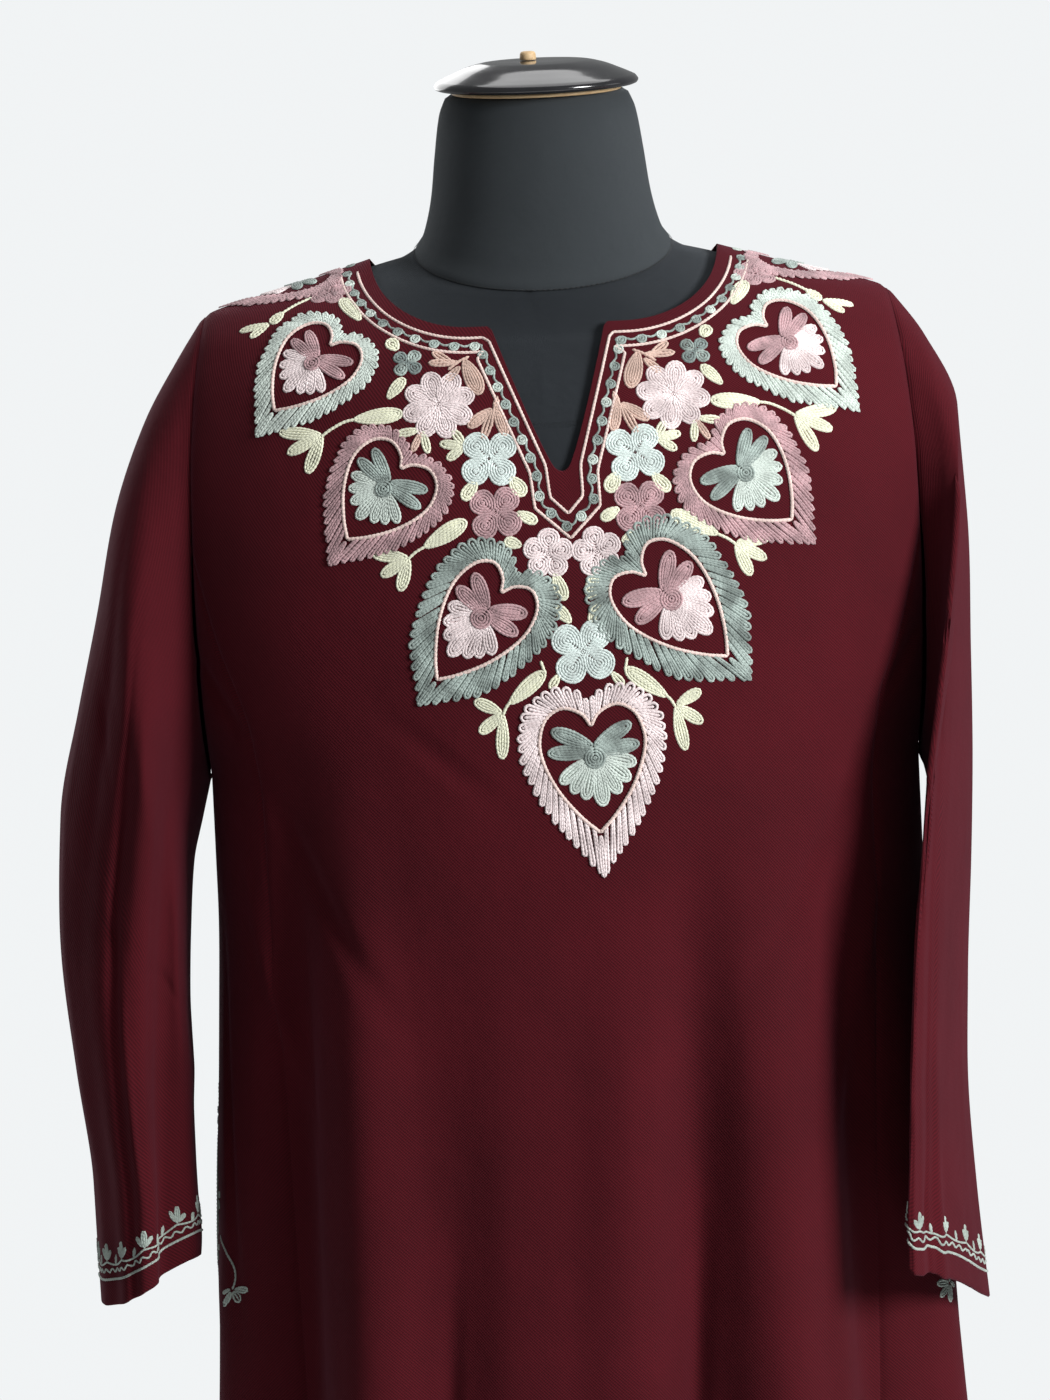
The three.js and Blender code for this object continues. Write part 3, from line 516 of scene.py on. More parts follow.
def shell(name, outer, normals, wrap=False):
    """A closed thin shell of cloth: its outer skin, its inner skin and a rounded edge. Its UVs are in mm."""
    rows, columns = outer.shape[:2]
    inner = outer - normals * CLOTH
    closed = np.concatenate([outer, outer[:, :1]], axis=1) if wrap else outer
    u = run_lengths(closed, 1)
    u = u - u[:, u.shape[1] // 2 : u.shape[1] // 2 + 1]
    v = run_lengths(outer, 0)
    v = v[-1:] - v
    v = np.concatenate([v, v[:, :1]], axis=1) if wrap else v
    points = [outer.reshape(-1, 3), inner.reshape(-1, 3)]
    size = rows * columns
    i, j, quads = grid_cells(rows, columns, wrap)
    corners = np.stack([u[i, j], v[i, j]], -1)
    a, b, c = (outer.reshape(-1, 3)[quads[:, q]] for q in range(3))
    facing = np.einsum("ij,ij->i", np.cross(b - a, c - b), normals.reshape(-1, 3)[quads[:, 0]])
    flip = np.sum(facing) < 0
    if flip:
        quads, corners = quads[:, ::-1], corners[:, ::-1]
    faces = [quads, quads[:, ::-1] + size]
    uvs = [corners, corners[:, ::-1]]
    loops = [[(0, j) for j in range(columns)], [(rows - 1, j) for j in reversed(range(columns))]]
    if not wrap:
        right = [(i, columns - 1) for i in range(1, rows)]
        left = [(i, 0) for i in reversed(range(1, rows - 1))]
        loops = [loops[0] + right + loops[1][1:] + left]
    base = 2 * size
    for loop in loops:
        at = np.array(loop)
        inside = np.stack([np.clip(at[:, 0], 1, rows - 2), at[:, 1]], -1)
        if not wrap:
            inside[:, 1] = np.clip(at[:, 1], 1, columns - 2)
        edge, within = outer[at[:, 0], at[:, 1]], inner[at[:, 0], at[:, 1]]
        outwards = unit(edge - outer[inside[:, 0], inside[:, 1]])
        ridge = (edge + within) / 2 + outwards * CLOTH * EDGE_ROUNDING
        points.append(ridge)
        first = at[:, 0] * columns + at[:, 1]
        middle = base + np.arange(len(loop))
        uv = np.stack([u[at[:, 0], at[:, 1]], v[at[:, 0], at[:, 1]]], -1)
        base += len(loop)
        following = np.roll(np.arange(len(loop)), -1)
        for low, high in ((first, middle), (middle, first + size)):
            rim = np.stack([low, low[following], high[following], high], -1)
            rim_uv = np.stack([uv, uv[following], uv[following], uv], 1)
            faces.append(rim[:, ::-1] if flip else rim)
            uvs.append(rim_uv[:, ::-1] if flip else rim_uv)
    return make_object(name, np.concatenate(points), np.concatenate(faces).tolist(), np.concatenate(uvs))


def skin_tree(*grids):
    """A search tree over the outer skins of some cloth, in millimetres."""
    points, faces, base = [], [], 0
    for grid in grids:
        points.append(grid.reshape(-1, 3))
        faces.append(grid_cells(*grid.shape[:2])[2] + base)
        base += len(points[-1])
    return BVHTree.FromPolygons(np.concatenate(points).tolist(), np.concatenate(faces).tolist())


def loft(name, rings, close=True):
    """A solid through closed rings of points, from the top down, with UVs in mm."""
    rows, columns = rings.shape[:2]
    closed = np.concatenate([rings, rings[:, :1]], axis=1)
    u = run_lengths(closed, 1)
    u = u * (np.max(u[:, -1]) / np.maximum(u[:, -1:], 1e-6))
    v = run_lengths(closed, 0)
    i, j, quads = grid_cells(rows, columns, True)
    faces, uvs = quads.tolist(), np.stack([u[i, j], v[i, j]], -1).reshape(-1, 2).tolist()
    points = rings.reshape(-1, 3).tolist()
    if close:
        for end in (0, rows - 1):
            centre = rings[end].mean(axis=0)
            points.append(centre.tolist())
            tip = len(points) - 1
            for j in range(columns):
                a, b = end * columns + j, end * columns + (j + 1) % columns
                faces.append((a, b, tip) if end == 0 else (b, a, tip))
                uvs += [(p[0], p[1]) for p in (rings[end, j], rings[end, (j + 1) % columns], centre)]
    return make_object(name, points, faces, uvs)


def lathe(name, profile, steps=96, move=(0, 0, 0), tilt=0.0):
    """A solid turned about the Z axis from a profile of (radius, height) pairs, from the bottom up."""
    profile = np.array(profile, float)[::-1]
    angle = np.linspace(0, 2 * np.pi, steps, endpoint=False)
    radius, height = profile[:, :1], profile[:, 1:]
    rings = stacked(radius * np.cos(angle), radius * np.sin(angle), height)
    y = rings[..., 1] * math.cos(tilt) - rings[..., 2] * math.sin(tilt)
    z = rings[..., 1] * math.sin(tilt) + rings[..., 2] * math.cos(tilt)
    return loft(name, stacked(rings[..., 0] + move[0], y + move[1], z + move[2]))


# ---- materials


def linear(red, green, blue):
    """A colour given in display values from 0 to 255."""
    made = []
    for value in (red, green, blue):
        c = value / 255
        made.append(c / 12.92 if c <= 0.04045 else ((c + 0.055) / 1.055) ** 2.4)
    return (*made, 1.0)


def new_material(name):
    made = bpy.data.materials.new(name)
    made.use_nodes = True
    return made, made.node_tree, made.node_tree.nodes["Principled BSDF"]


def put(tree, socket, value):
    """Sets an input, or links it to another node's output."""
    if isinstance(value, bpy.types.NodeSocket):
        tree.links.new(value, socket)
    else:
        socket.default_value = value


def node(tree, kind, inputs=None, **settings):
    made = tree.nodes.new(kind)
    for key, value in settings.items():
        setattr(made, key, value)
    for key, value in (inputs or {}).items():
        put(tree, made.inputs[key], value)
    return made


def calculate(tree, operation, *values):
    return node(tree, "ShaderNodeMath", dict(enumerate(values)), operation=operation).outputs[0]


def weighed(tree, a, a_weight, b, b_weight):
    """Two values times their weights, added up."""
    return calculate(tree, "ADD", calculate(tree, "MULTIPLY", a, a_weight),
                     calculate(tree, "MULTIPLY", b, b_weight))


def blend_colours(tree, share, a, b):
    return node(tree, "ShaderNodeMix", {0: share, 6: a, 7: b}, data_type="RGBA").outputs[2]


def coordinates_of(tree):
    """The place on the object in metres, and the two coordinates of the flat cloth in mm."""
    coordinates = node(tree, "ShaderNodeTexCoord")
    split = node(tree, "ShaderNodeSeparateXYZ", {0: coordinates.outputs["UV"]})
    return coordinates.outputs["Object"], split.outputs[0], split.outputs[1]


def noise(tree, place, scale, detail=2.0, roughness=0.5):
    inputs = {"Vector": place, "Scale": scale, "Detail": detail, "Roughness": roughness}
    return node(tree, "ShaderNodeTexNoise", inputs).outputs["Fac"]


def stretched_to(tree, value, low, high):
    return node(tree, "ShaderNodeMapRange", {0: value, 1: low, 2: high, 3: 0.0, 4: 1.0}).outputs[0]


def relief(tree, strength, distance, height, **more):
    inputs = {"Strength": strength, "Distance": distance, "Height": height, **more}
    return node(tree, "ShaderNodeBump", inputs).outputs[0]


def finish_shader(tree, shader, colour, roughness, normal, **others):
    """Fills in the shader's inputs. In the names of the others, a _ stands for a space."""
    inputs = {"Base Color": colour, "Roughness": roughness, "Normal": normal}
    inputs.update({key.replace("_", " "): value for key, value in others.items()})
    for key, value in inputs.items():
        put(tree, shader.inputs[key], value)


def tinted(colour, factor, added=0.0, most=1.0):
    """A darker or paler colour of the same hue."""
    return tuple(min(most, c * factor + added) for c in colour[:3]) + (1.0,)


def wave_of(tree, u, v, across, along):
    """A sine from 0 to 1 along a slanting direction of the cloth, by turns per mm."""
    phase = weighed(tree, u, across * 2 * math.pi, v, along * 2 * math.pi)
    return calculate(tree, "MULTIPLY_ADD", calculate(tree, "SINE", phase), 0.5, 0.5)


FIBRES, PATCHES, RIPPLES = 900.0, 14.0, 48.0  # scales of the noise in cloth
TWISTS, WEAR = 1500.0, 85.0  # and in thread


def cloth_material(name, light, dark, turns, cross, sheen, roughness):
    """Woven or knitted cloth: fine slanting ribs, crossing threads, soft fibres and uneven dye, with painted
    shade in the grooves between the ribs.
    """
    made, tree, shader = new_material(name)
    place, u, v = coordinates_of(tree)
    fibres = noise(tree, place, FIBRES, 2.0, 0.6)
    patches = noise(tree, place, PATCHES, 3.0, 0.55)
    ripples = noise(tree, place, RIPPLES, 3.0, 0.5)
    threads = calculate(tree, "ADD", wave_of(tree, u, v, *cross), fibres)
    height = weighed(tree, wave_of(tree, u, v, *turns), 0.6, threads, 0.3)
    # Painted shade: the colour turns to the darker one where the ribs and threads sink, and also in patches,
    # as uneven dye
    share = stretched_to(tree, weighed(tree, height, 0.65, patches, 0.35), 0.2, 0.8)
    finish_shader(tree, shader, blend_colours(tree, share, dark, light),
                  calculate(tree, "MULTIPLY_ADD", fibres, 0.12, roughness),
                  relief(tree, 0.6, 0.0003, height, Normal=relief(tree, 0.5, 0.0016, ripples)),
                  Sheen_Weight=sheen[0], Sheen_Roughness=0.45, Sheen_Tint=sheen[1], Specular_IOR_Level=0.12)
    return made


def thread_material(name, colour, depth):
    """Twisted crewel thread in chain stitch: each link is a V, the wool is a little uneven, and painted
    shade darkens the hollows between the links.
    """
    made, tree, shader = new_material(name)
    place, u, v = coordinates_of(tree)
    slant = calculate(tree, "MULTIPLY", calculate(tree, "ABSOLUTE", v), 0.35)
    link = calculate(tree, "FRACT", calculate(tree, "SUBTRACT", u, slant))
    crest = calculate(tree, "SINE", calculate(tree, "MULTIPLY", link, math.pi))
    twist = calculate(tree, "SINE", weighed(tree, u, 25.0, v, 4.0))
    rough = calculate(tree, "ADD", twist, noise(tree, place, TWISTS, 2.0, 0.6))
    height = weighed(tree, calculate(tree, "POWER", crest, 0.5), 1.0, rough, 0.16)
    worn = stretched_to(tree, noise(tree, place, WEAR, 2.0, 0.6), 0.35, 0.65)
    tone = blend_colours(tree, worn, tinted(colour, depth), tinted(colour, 1.14, most=0.97))
    # Painted shade: the colour falls to 0.58 of the dyed tone in the hollows between the links and twists
    share = stretched_to(tree, height, 0.0, 0.7)
    finish_shader(tree, shader, blend_colours(tree, share, tinted(colour, 0.58), tone), 0.78,
                  relief(tree, 0.6, 0.0003, height), Sheen_Weight=0.25, Specular_IOR_Level=0.25)
    return made


def gloss_material(name, colour, roughness, coat, speckle):
    """Lacquer or satin paint with a faint unevenness."""
    made, tree, shader = new_material(name)
    uneven = noise(tree, coordinates_of(tree)[0], 60.0, 4.0, 0.6)
    share = stretched_to(tree, uneven, 0.35, 0.75)
    finish_shader(tree, shader, blend_colours(tree, share, colour, tinted(colour, 1.5, 0.004)),
                  calculate(tree, "MULTIPLY_ADD", uneven, speckle, roughness),
                  relief(tree, 0.12, 0.0006, uneven), Coat_Weight=coat, Coat_Roughness=0.08)
    return made


def wood_material(name, light, dark):
    """Pale turned wood with growth rings and fine pores."""
    made, tree, shader = new_material(name)
    inputs = {"Vector": coordinates_of(tree)[0], "Scale": (1, 9, 9)}
    stretch = node(tree, "ShaderNodeMapping", inputs).outputs[0]
    rings = noise(tree, stretch, 40.0, 4.0, 0.6)
    pores = noise(tree, stretch, 400.0, 2.0, 0.7)
    height = weighed(tree, pores, 0.4, rings, 0.8)
    share = stretched_to(tree, height, 0.35, 0.85)
    finish_shader(tree, shader, blend_colours(tree, share, dark, light), 0.55,
                  relief(tree, 0.25, 0.0004, height))
    return made


# Ribs and threads of the cloths, in turns per mm, across and along
TWILL = (0.52, 0.52)
CROSSING = (-0.6, 0.7)
KNIT_COLUMNS, KNIT_ROWS = (2.2, 0.0), (0.0, 1.9)
MAROON_SHEEN, GREY_SHEEN = (0.8, 0.3, 0.46, 1), (0.6, 0.65, 0.7, 1)
wool = cloth_material("maroon wool twill", linear(83, 17, 26.5), linear(47, 8.5, 14.5), TWILL, CROSSING,
                      (0.08, MAROON_SHEEN), 0.84)
jersey = cloth_material("charcoal jersey", linear(43, 47, 51), linear(34, 37, 41), KNIT_COLUMNS, KNIT_ROWS,
                        (0.15, GREY_SHEEN), 0.8)
neck_jersey = cloth_material("grey jersey", linear(58, 62, 65), linear(47, 52, 55), KNIT_COLUMNS, KNIT_ROWS,
                             (0.2, GREY_SHEEN), 0.8)
lacquer = gloss_material("black lacquer", linear(24, 24, 27), 0.12, 0.6, 0.1)
satin = gloss_material("black satin paint", linear(26, 27, 29), 0.46, 0.0, 0.2)
wood = wood_material("pale wood", linear(226, 200, 156), linear(176, 140, 98))
# Colour of each thread, and how dark its dye gets in places
THREADS = {
    "grey_green": ((206, 217, 209), 0.78),
    "dark_green": ((166, 180, 174), 0.45),
    "light_pink": ((240, 223, 223), 0.74),
    "mauve": ((194, 158, 162), 0.62),
    "peach": ((212, 182, 168), 0.75),
    "pale_peach": ((230, 206, 198), 0.85),
    "cream": ((230, 231, 206), 0.86),
    "pale_grey": ((216, 228, 224), 0.84),
    "slate": ((128, 141, 138), 0.7),
    "sage": ((166, 178, 170), 0.75),
    "charcoal": ((26, 28, 30), 0.8),
}


# ---- the cloth pieces


def finish_piece(piece, material, slot, *nodes):
    """Gives a piece its material and its body, and hides the solids that it stands for. Its slot is not
    used.
    """
    piece.data.materials.append(material)
    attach(piece, "root")
    if nodes:
        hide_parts(*nodes)
    return piece


# Counts of the cloth's points: across, above and below the armpit, or across and down, or round and along
FRONT_COUNTS, BACK_COUNTS = (132, 84, 126), (96, 64, 112)
GORE_COUNTS, SLEEVE_COUNTS = (22, 96), (108, 132)
front_points, front_normals = centre_panel("front", *FRONT_COUNTS)
back_points, back_normals = centre_panel("back", *BACK_COUNTS)
front = finish_piece(shell("wool_front", front_points, front_normals), wool, "wool", "front")
back = finish_piece(shell("wool_back", back_points, back_normals), wool, "wool", "back")
for which in ("left", "right"):
    for face in ("front", "back"):
        made = shell(f"wool_{face}_gore_{which}", *gore(face, which, *GORE_COUNTS))
        finish_piece(made, wool, "wool", f"{face}_gore_{which}")
    made = shell(f"wool_sleeve_{which}", *sleeve_grid(which, *SLEEVE_COUNTS), wrap=True)
    finish_piece(made, wool, "wool", f"sleeve_{which}")

# Rings of a pocket's bag: inwards, top, bottom, front, back
POCKET = np.array([
    (0, 459, 599, -27, 5), (10, 460, 606, -25, 3), (22, 464, 616, -24, 0), (32, 474, 618, -20, -3),
    (33, 490, 600, -16, -6),
], float)
POCKET_ROOM = 1.2  # between the bag's mouth and the inside of the cloth


def pocket_grid(which):
    """The bag behind the opening of a side seam, from its mouth inwards."""
    depth = np.linspace(0, 1, 22)
    keys = np.linspace(0, 1, len(POCKET))
    inwards, top, bottom, ahead, behind = (curve(keys, POCKET[:, c], depth)[:, None] for c in range(5))
    angle = np.linspace(0, 2 * np.pi, 40, endpoint=False)
    down = (top + bottom) / 2 - (bottom - top) / 2 * np.cos(angle)
    y = (ahead + behind) / 2 + (behind - ahead) / 2 * np.sin(angle)
    half = body_half(down)
    edge = half * oval(y / body_depth(y < 0, down))
    fold = fold_at(90 + np.degrees(y / half), down)
    far = edge + fold - POCKET_MOUTH[which] - inwards - POCKET_ROOM
    return stacked(SIDE[which] * far, y, SHOULDER_HEIGHT - down)


def bag_normals(bag):
    """Normals of a bag that is closed round its rows, away from its middle."""
    around = np.roll(bag, -1, axis=1) - np.roll(bag, 1, axis=1)
    out = unit(np.cross(np.gradient(bag, axis=0), around))
    return -out if np.sum((bag - bag.mean(axis=(0, 1))) * out) < 0 else out


for which in ("left", "right"):
    bag = pocket_grid(which)
    made = shell(f"wool_pocket_{which}", bag, bag_normals(bag), wrap=True)
    finish_piece(made, wool, "wool", f"pocket_{which}")

# ---- the dress form and its stand
TORSO = np.array([
    (120, 177, 108, 100), (180, 166, 120, 111), (240, 157, 124, 112), (300, 140, 112, 104),
    (390, 120, 92, 90), (470, 142, 100, 102), (560, 158, 108, 113), (640, 156, 104, 110),
    (676, 148, 96, 102), (686, 132, 82, 88),
], float)
TORSO_TOP_HALF = 187.0
SHOULDER_FOOT = {"sides": 33, "front": 95, "back": 88}
# lift, half, front, back, slope
NECK = np.array([
    (2, 71, 61, 45, 0.38), (12, 66, 59, 44, 0.34), (32, 61, 57, 43, 0.26), (55, 58, 57, 42, 0.2),
    (77, 54.5, 56, 40, 0.13), (88, 50, 52, 36, 0.11),
], float)
SEAM_DEPTH, SEAM_HALF, SEAM_PLACE = 0.8, 1.1, -9.0
NECK_TOP = 88.0
ROLL, ROLL_LIFT, ROLL_HALF, TUCK = 0.9, 4.5, 2.4, 2.2


def form_angles(count):
    """Angles round the form, with close ones beside the seams at its centre front and back."""
    fine = np.array([-2.0, -1.1, -0.55, -0.25, 0, 0.25, 0.55, 1.1, 2.0])
    even = np.linspace(0, 360, count, endpoint=False)
    return np.unique(np.round(np.concatenate([even, 90 + fine, 270 + fine]), 4))


def form_ring(angles, half, front, back, z, slope=0.0, power=BODY_POWER):
    """A ring round the form, from half its width, its depths to the front and the back, and its slope."""
    cosine, sine = np.cos(np.radians(angles)), np.sin(np.radians(angles))
    x = -half * (np.sign(cosine) * np.abs(cosine) ** (2 / power))
    y = -np.where(sine > 0, front, back) * (np.sign(sine) * np.abs(sine) ** (2 / power))
    return stacked(x, y, z + slope * y)


def shoulder_ring(angles, share):
    """A ring close under the shoulders of the cloth, a share of the way down to the straight torso."""
    degrees = turn(angles - 90)
    in_front = np.abs(degrees) <= 90
    across = np.sin(np.radians(degrees))
    reach = NECK_HALF * across
    edge = np.where(in_front, neckline_drop(reach, "front"), neckline_drop(reach, "back")) + TORSO_UNDER
    middle = np.where(in_front, SHOULDER_FOOT["front"], SHOULDER_FOOT["back"])
    down = mix(edge, mix(middle, SHOULDER_FOOT["sides"], across**2), share)
    level = down - TORSO_UNDER
    half = np.minimum(TORSO_TOP_HALF, body_half(level) - 0.6)
    x = across * mix(NECK_HALF - 0.6, TORSO_TOP_HALF, share)
    depth = (body_depth(in_front, level) - TORSO_WITHIN) * oval(x / half)
    return stacked(x, np.where(in_front, -depth, depth), SHOULDER_HEIGHT - down)


def seam_groove(rings):
    """Sinks the centre seams a little into the form."""
    inwards = np.array([0, 1, 0]) * -np.sign(rings[..., 1:2])
    depth = SEAM_DEPTH * np.exp(-(((rings[..., 0] - SEAM_PLACE) / SEAM_HALF) ** 2))
    return rings + inwards * depth[..., None]


def refined(rings, count):
    """More rings between the given ones, on smooth curves from the top down."""
    step = np.linalg.norm(np.diff(rings, axis=0), axis=-1).mean(axis=1)
    run = np.concatenate([[0], np.cumsum(step)])
    return curve(run, rings, np.linspace(0, run[-1], count))


def torso_rings():
    """Rings from the foot of the neck over the shoulders to the foot of the torso."""
    angles = form_angles(104)
    lift, half, ahead, behind, slope = NECK[0]
    rings = [form_ring(angles, half, ahead, behind, SHOULDER_HEIGHT + lift - 0.3, slope, 2.0)]
    rings += [shoulder_ring(angles, share) for share in np.linspace(0, 1, 15)]
    rings += [form_ring(angles, row[1], row[2], row[3], SHOULDER_HEIGHT - row[0]) for row in TORSO]
    return seam_groove(refined(np.array(rings), 130))


def neck_rings():
    """Rings of the neck cover, which is rolled at its foot and tucked in at its top."""
    angles = np.linspace(0, 360, 112, endpoint=False)
    lift = np.concatenate([[2, 2.3, 3.0, 4.2, 6, 9], np.linspace(12, 84, 40), [86, 87.3, NECK_TOP]])
    rings = []
    for level in lift:
        half, ahead, behind, slope = (curve(NECK[:, 0], NECK[:, c], level) for c in range(1, 5))
        roll = ROLL * math.exp(-(((level - ROLL_LIFT) / ROLL_HALF) ** 2))
        tuck = -TUCK * smooth(86, NECK_TOP, level)
        rings.append(form_ring(angles, half + roll + tuck, ahead + roll + tuck, behind + roll + tuck,
                               SHOULDER_HEIGHT + level, slope, 2.0))
    return np.array(rings[::-1])


form = finish_piece(loft("form_shape", torso_rings()), jersey, "jersey", "form_torso")
neck = finish_piece(loft("form_neck_cover", neck_rings()), neck_jersey, "neck_jersey", "form_neck")

CAP_RADIUS, CAP_TILT, CAP_Y = 56.5, 0.11, -8.0
cap_place = {"move": (0, CAP_Y, SHOULDER_HEIGHT + NECK_TOP + CAP_TILT * CAP_Y), "tilt": math.atan(CAP_TILT)}
disc = [(0, 0.4), (45.8, 0.4), (46.7, 0.7), (47, 1.2), (47, 1.9), (46.7, 2.4), (45.8, 2.7), (0, 2.7)]
finish_piece(lathe("form_cap_rim", disc, **cap_place), wood, "disc_wood", "form_cap_disc")
dome_keys = np.array([0, 0.3, 0.5, 0.66, 0.84, 0.93, 0.985, 1.0])
dome_heights = np.array([17.6, 17.6, 17.1, 15.2, 11.2, 8.9, 7.2, 5.6])
dome = [(CAP_RADIUS * k, float(curve(dome_keys, dome_heights, k))) for k in np.linspace(1, 0, 40)]
cap_profile = [(0, 3.0), (CAP_RADIUS * 0.86, 3.0), (CAP_RADIUS - 2.4, 3.1), (CAP_RADIUS - 0.9, 3.7),
               (CAP_RADIUS - 0.15, 4.7)] + dome
finish_piece(lathe("form_cap_dome", cap_profile, **cap_place), lacquer, "lacquer", "form_cap")
stub = [(0, 17.9), (4.3, 17.9), (4.6, 18.4), (4.3, 21.4), (3.7, 22.3), (2.6, 22.6), (0, 22.6)]
stub_place = dict(cap_place, move=(-4, *cap_place["move"][1:]))
finish_piece(lathe("form_peg", stub, 32, **stub_place), wood, "stub_wood", "form_cap_stub")

TORSO_FOOT = SHOULDER_HEIGHT - TORSO[-1, 0]
BASE, PLATE, POLE, FLANGE, FLANGE_HEIGHT = 180.0, 10.0, 14.0, 45.0, 12.0
base_profile = [(0, 0), (BASE - 3, 0), (BASE - 1, 0.6), (BASE, 2.2), (BASE, PLATE - 3.4),
                (BASE - 1.2, PLATE - 1.4), (BASE - 3.4, PLATE - 0.3), (BASE - 6, PLATE), (60, PLATE + 0.4),
                (34, PLATE + 0.8), (29, PLATE + 3), (25.5, PLATE + 9), (24, PLATE + 18),
                (23, PLATE + 21), (20, PLATE + 22), (0, PLATE + 22)]
finish_piece(lathe("stand_foot", base_profile, 128), satin, "stand_steel", "stand_base")
# The pole ends a hair away from the base's socket and from the flange
pole_foot, pole_top = PLATE + 22.3, TORSO_FOOT - FLANGE_HEIGHT - 0.6
pole_profile = [(0, pole_foot), (POLE, pole_foot), (POLE, pole_top), (0, pole_top)]
pole_profile[2:2] = [(POLE, mix(pole_foot, pole_top, share)) for share in (0.1, 0.3, 0.5, 0.7, 0.9)]
finish_piece(lathe("stand_tube", pole_profile, 48), satin, "stand_steel", "stand_pole")
flange_low = TORSO_FOOT - FLANGE_HEIGHT - 0.3
flange_profile = [(0, 0), (20, 0), (22.5, 0.8), (FLANGE - 3, 7.2), (FLANGE - 0.6, 8.8), (FLANGE, 10),
                  (FLANGE, FLANGE_HEIGHT), (0, FLANGE_HEIGHT)]
finish_piece(lathe("stand_socket", flange_profile, 64, (0, 0, flange_low)), satin, "stand_steel",
             "stand_flange")

# ---- embroidery in chain stitch
STITCH = 2.3  # length of one link
ROW = 1.75  # width of one row of chain stitch
RISE = 0.75  # how far a row stands above the cloth
ROW_SPACING = 0.82  # rows lie this close together in a filled shape, as a share of a row
# Section of a row: places across as shares of half its width, and heights
RISE_SHAPE = ((-1.0, -0.1), (-0.48, 1.0), (0.48, 1.0), (1.0, -0.1))
STRAND_STEP = 1.4  # between the points of a flat strand that is laid on the cloth
THIN, FINE = 1.4, 1.3  # widths of narrower rows
# The middle line of the embroidery starts at a level and leans by so much in a run downwards
MOTIF_DOWN, MOTIF_LEAN, MOTIF_RUN = 39.0, 15.0, 237.0

body_tree = skin_tree(front_points, back_points)
stitches = {thread: [] for thread in THREADS}


def resampled(points, step):
    """The same line with evenly spaced points, about a step apart."""
    run = run_lengths(points, 0)
    count = max(3, int(round(run[-1] / step)) + 1)
    at = np.linspace(0, run[-1], count)
    return np.stack([np.interp(at, run, points[:, c]) for c in range(points.shape[1])], -1)


def lay(points, normals, thread, width=ROW, lift=0.0):
    """Lays one row of chain stitch along points of the cloth."""
    both = resampled(np.concatenate([points, normals], axis=-1), STITCH / 2)
    stitches[thread].append((both[:, :3], unit(both[:, 3:]), width * random.uniform(0.95, 1.05), lift))


def apart(nodes):
    """The points and the normals of a list of pairs, as two arrays."""
    return np.array([n[0] for n in nodes]), np.array([n[1] for n in nodes])


def lay_strands(strands, nodes_of):
    """Lays flat strands on the cloth. nodes_of finds the cloth's points and normals for flat places."""
    for line, thread, width, lift in strands:
        points, normals = nodes_of(resampled(np.asarray(line, float), STRAND_STEP))
        if len(points) > 2:
            lay(points, normals, thread, width, lift)


def smooth_path(points, steps=6):
    """A smooth curve through a few points."""
    p = np.asarray(points, float)
    if len(p) < 3:
        return p
    p = np.concatenate([[2 * p[0] - p[1]], p, [2 * p[-1] - p[-2]]])
    t = np.linspace(0, 1, steps, endpoint=False)[:, None]
    pieces = []
    for a, b, c, d in zip(p, p[1:], p[2:], p[3:]):
        pieces.append(0.5 * (2 * b + (c - a) * t + (2 * a - 5 * b + 4 * c - d) * t**2
                             + (3 * b - a - 3 * c + d) * t**3))
    return np.concatenate(pieces + [p[-2:-1]])


# As shares of a row: how far past a petal's middle its last row may lie, and the room below which that row
# is a straight line. Then the least length of half that line, in mm.
LAST_ROW, NO_ROOM, SHORTEST = 0.45, 0.3, 0.3


def petal(base, tip, width, thread, row=ROW, widest=0.6, taper=0.35, lift=0.0):
    """Rows of stitches that fill a petal or leaf, from its edge inwards."""
    base, tip = np.array(base, float), np.array(tip, float)
    length = np.linalg.norm(tip - base)
    along = (tip - base) / length
    across = np.array([-along[1], along[0]])
    made, inset = [], row / 2
    while inset < width / 2 + row * LAST_ROW and inset < length / 2:
        room = max(0.0, width / 2 - inset)
        if room < row * NO_ROOM:
            middle = widest * length
            near = middle - max(SHORTEST, middle - inset)
            far = middle + max(SHORTEST, (1 - widest) * length - inset)
            made.append((np.array([base + along * near, base + along * far]), thread, row, lift))
            break
        angle = np.linspace(-np.pi, np.pi, max(12, int(length + width)))
        reach = np.where(np.cos(angle) > 0, (1 - widest) * length, widest * length) - inset
        back = np.clip(-np.cos(angle), 0, 1)
        side = room * np.sin(angle) * (1 - taper * back**2)
        forth = widest * length + np.maximum(reach, 0) * np.cos(angle)
        made.append((base + forth[:, None] * along + side[:, None] * across, thread, row, lift))
        inset += row * ROW_SPACING
    return made


def dot(centre, radius, thread, row=THIN, lift=0.0):
    """A small round filled with stitches."""
    centre = np.array(centre, float)
    return petal(centre - [0, radius], centre + [0, radius], 2 * radius, thread, row, 0.5, 0.0, lift)


def flower(count, reach, width, threads, inner=0.04, start=0.0, row=ROW):
    """Round petals about a point, alternately in the given threads."""
    made = []
    for k in range(count):
        angle = start + 2 * math.pi * k / count
        way = np.array([math.sin(angle), math.cos(angle)])
        made += petal(way * reach * inner, way * reach, width, threads[k % len(threads)], row, 0.6, 0.2)
    return made + dot((0, 0), width * 0.2, threads[0], 1.2)


# Half of a heart's outline and half of its scalloped border, as shares of the height of the outline
HEART_HALF = ((0, 0.0), (0.08, -0.12), (0.25, -0.185), (0.41, -0.09), (0.48, 0.12), (0.45, 0.34),
              (0.335, 0.6), (0.16, 0.84), (0.0, 1.0))
BORDER_HALF = ((0, -0.22), (0.105, -0.33), (0.26, -0.375), (0.44, -0.33), (0.575, -0.2), (0.65, 0.0),
               (0.66, 0.2), (0.605, 0.45), (0.485, 0.72), (0.325, 0.98), (0.14, 1.23), (0.0, 1.42))
BORDER_REACH = 0.42  # how far the border's tip hangs below the outline in that table
FEATHERS = 24  # on each side of a heart
FEATHER_SLANT = 0.13  # how far the feathers lag behind at the outline
